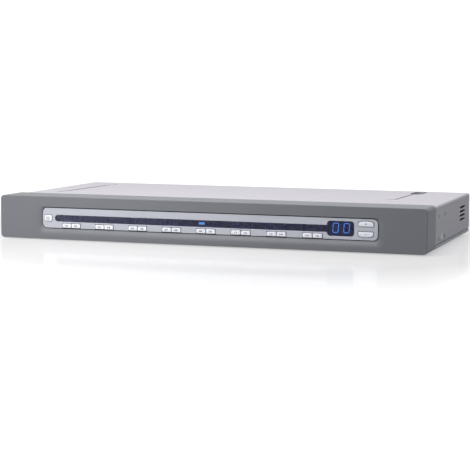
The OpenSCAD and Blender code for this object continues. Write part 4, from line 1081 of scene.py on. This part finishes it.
def make_rear_marks():
    """Port numbers beside the jacks and the on and off marks of the power switch."""
    low, high = box("port_jack_shields")
    face = REAR + 0.02
    for block, x in enumerate(JACK_BLOCK_X):
        for column in range(4):
            for row, z in enumerate((low[2] - 2.6, high[2] + 2.6)):
                port = 1 + block * 8 + column * 2 + row
                spot = (x + (column - 1.5) * JACK_PITCH, z)
                lettering(f"rear_number_{port:02d}", str(port), spot, height=1.9, face=face, lift=0.16,
                          finish="print_dark", behind=True)
    frame_low, frame_high = box("power_switch_frame")
    x = (frame_low[0] + frame_high[0]) / 2
    for name, text, z in (("on", "I", frame_high[2] + 2.4), ("off", "O", frame_low[2] - 2.4)):
        lettering(f"power_mark_{name}", text, (x, z), height=2.4, face=face, lift=0.16,
                  finish="print_dark", behind=True)


# -------- floor, light and camera

FLOOR_BASE = 0.3
FLOOR_FILL = 0.68
FLOOR_WHITE = 1.2
FLOOR_REACH = (0.3, 0.5)
FLOOR_PATCH = (-0.27, -0.08, 1.6, 0.2)
FLOOR_BLUR = 0.1
FLOOR_MIRROR = 0.3


def make_floor():
    """A plain white floor with a faint mirror; gloss sees it lit from the left, matt sees it dim."""
    size = 40.0
    corners = [(-size, -size, 0), (size, -size, 0), (size, size, 0), (-size, size, 0)]
    mesh = bpy.data.meshes.new("floor")
    mesh.from_pydata(corners, [], [(0, 1, 2, 3)])
    floor = new_object("floor", mesh)
    tree, shader = new_finish("floor")
    place = object_place(tree)
    shade = mapped(tree, noise(tree, 3.0, 2.0, place), 0.3, 0.7, 0.995, 1.005)
    base = scaled_colour(tree, (FLOOR_BASE,) * 3, shade)
    tree.links.new(base, shader.inputs["Base Color"])
    shader.inputs["Roughness"].default_value = 0.9
    shader.inputs["Specular IOR Level"].default_value = 0.0
    shader.inputs["Emission Color"].default_value = (1, 1, 1, 1)
    reach = tree.nodes.new("ShaderNodeVectorMath")
    reach.operation = "LENGTH"
    tree.links.new(place, reach.inputs[0])
    split = tree.nodes.new("ShaderNodeSeparateXYZ")
    tree.links.new(place, split.inputs["Vector"])
    path = tree.nodes.new("ShaderNodeLightPath")
    fill = mapped(tree, reach.outputs["Value"], *FLOOR_REACH, FLOOR_FILL, FLOOR_WHITE)
    patch = mapped(tree, split.outputs["X"], *FLOOR_PATCH)
    to_camera = maths(tree, "MULTIPLY", path.outputs["Is Camera Ray"], fill)
    to_gloss = maths(tree, "MULTIPLY", path.outputs["Is Glossy Ray"], patch)
    tree.links.new(maths(tree, "ADD", to_camera, to_gloss), shader.inputs["Emission Strength"])
    mirror = tree.nodes.new("ShaderNodeBsdfGlossy")
    mirror.inputs["Roughness"].default_value = FLOOR_BLUR
    mix = tree.nodes.new("ShaderNodeMixShader")
    mix.inputs["Fac"].default_value = FLOOR_MIRROR
    output = tree.nodes["Material Output"]
    tree.links.new(shader.outputs["BSDF"], mix.inputs[1])
    tree.links.new(mirror.outputs["BSDF"], mix.inputs[2])
    tree.links.new(mix.outputs["Shader"], output.inputs["Surface"])
    mesh.materials.append(FINISH["floor"])


def make_world():
    """A white backdrop, lit mostly from above and the left, with a bright band in front for gloss."""
    world = bpy.data.worlds.new("studio")
    bpy.context.scene.world = world
    world.use_nodes = True
    tree = world.node_tree
    backdrop = tree.nodes["Background"]
    coordinates = tree.nodes.new("ShaderNodeTexCoord")
    split = tree.nodes.new("ShaderNodeSeparateXYZ")
    tree.links.new(coordinates.outputs["Generated"], split.inputs["Vector"])
    up = mapped(tree, split.outputs["Z"], 0.0, 0.8, 0.1, 1.15)
    across = mapped(tree, split.outputs["X"], -1.0, 0.8, 1.0, 0.25)
    behind = mapped(tree, split.outputs["Y"], 0.2, 0.9, 0.0, 0.5)
    path = tree.nodes.new("ShaderNodeLightPath")
    high = mapped(tree, split.outputs["Z"], 0.1, 0.5, 0.0, 3.1)
    front = mapped(tree, split.outputs["Y"], -0.4, 0.0, 1.0, 0.0)
    sheen = maths(tree, "MULTIPLY", path.outputs["Is Glossy Ray"], maths(tree, "MULTIPLY", high, front))
    level = maths(tree, "ADD", maths(tree, "MULTIPLY", up, across), maths(tree, "ADD", behind, sheen))
    tint = tree.nodes.new("ShaderNodeCombineColor")
    for channel, right in (("Red", 0.93), ("Green", 1.0), ("Blue", 1.06)):
        tree.links.new(mapped(tree, split.outputs["X"], -0.5, 0.8, 1.0, right), tint.inputs[channel])
    tree.links.new(tint.outputs["Color"], backdrop.inputs["Color"])
    choose = tree.nodes.new("ShaderNodeMix")
    tree.links.new(path.outputs["Is Camera Ray"], choose.inputs["Factor"])
    tree.links.new(level, choose.inputs["A"])
    choose.inputs["B"].default_value = 1.05
    tree.links.new(choose.outputs["Result"], backdrop.inputs["Strength"])


def make_lights():
    """A large soft light overhead and a small one in front of the left end."""
    lights = [("overhead", (0.0, -0.3, 1.15), (0.0, 0.0, 0.0), 0.7, 8.5, (1.0, 0.97, 0.99)),
              ("left", (-0.15, -0.48, 0.2), (-0.17, -0.1, 0.02), 0.2, 1.3, (1.0, 1.0, 1.0))]
    for name, place, aim, size, power, colour in lights:
        data = bpy.data.lights.new(name, "AREA")
        data.color = colour
        data.size = size
        data.energy = power
        light = new_object(name, data)
        light.location = place
        light.rotation_mode = "QUATERNION"
        light.rotation_quaternion = (Vector(aim) - Vector(place)).to_track_quat("-Z", "Y")
        light.visible_camera = False
        light.visible_glossy = False


def make_camera():
    """Seen from the front right, slightly above, with a long lens."""
    azimuth, elevation, roll = math.radians(18.887), math.radians(6.046), math.radians(0.264)
    distance = 1.45
    target = Vector((0.0149, -0.0647, 0.0070))
    back = Vector((math.sin(azimuth) * math.cos(elevation), -math.cos(azimuth) * math.cos(elevation),
                   math.sin(elevation)))
    data = bpy.data.cameras.new("camera")
    data.lens = 110.88
    data.sensor_width = 36.0
    camera = new_object("camera", data)
    camera.location = target + back * distance
    camera.rotation_mode = "QUATERNION"
    tilt = Matrix.Rotation(roll, 3, "Z").to_quaternion()
    camera.rotation_quaternion = (-back).to_track_quat("-Z", "Y") @ tilt
    bpy.context.scene.camera = camera


make_bezel()
make_panel()
make_lens()
for button in BUTTONS:
    make_button(button)
make_cap_marks()
make_lamps()
make_display()
make_keypad()
make_cover()
make_feet()
make_contact_block("video_jack_insert", "insert_blue", width=16.9, rows=(5, 5, 5), pitch=2.29,
                   row_pitch=1.98)
make_contact_block("chain_jack_insert", "black_plastic", width=39.0, rows=(13, 12), pitch=2.76,
                   row_pitch=2.84)
make_din_jack("keyboard_jack", "jack_purple")
make_din_jack("mouse_jack", "jack_green")
make_usb_tongues()
make_rear_marks()
for dress_finish, dressed in DRESSED.items():
    for dressed_node, bevel_width in dressed.items():
        dress(dressed_node, dress_finish, bevel_width)
make_floor()
make_world()
make_lights()
make_camera()
bpy.context.scene.view_settings.view_transform = "Standard"
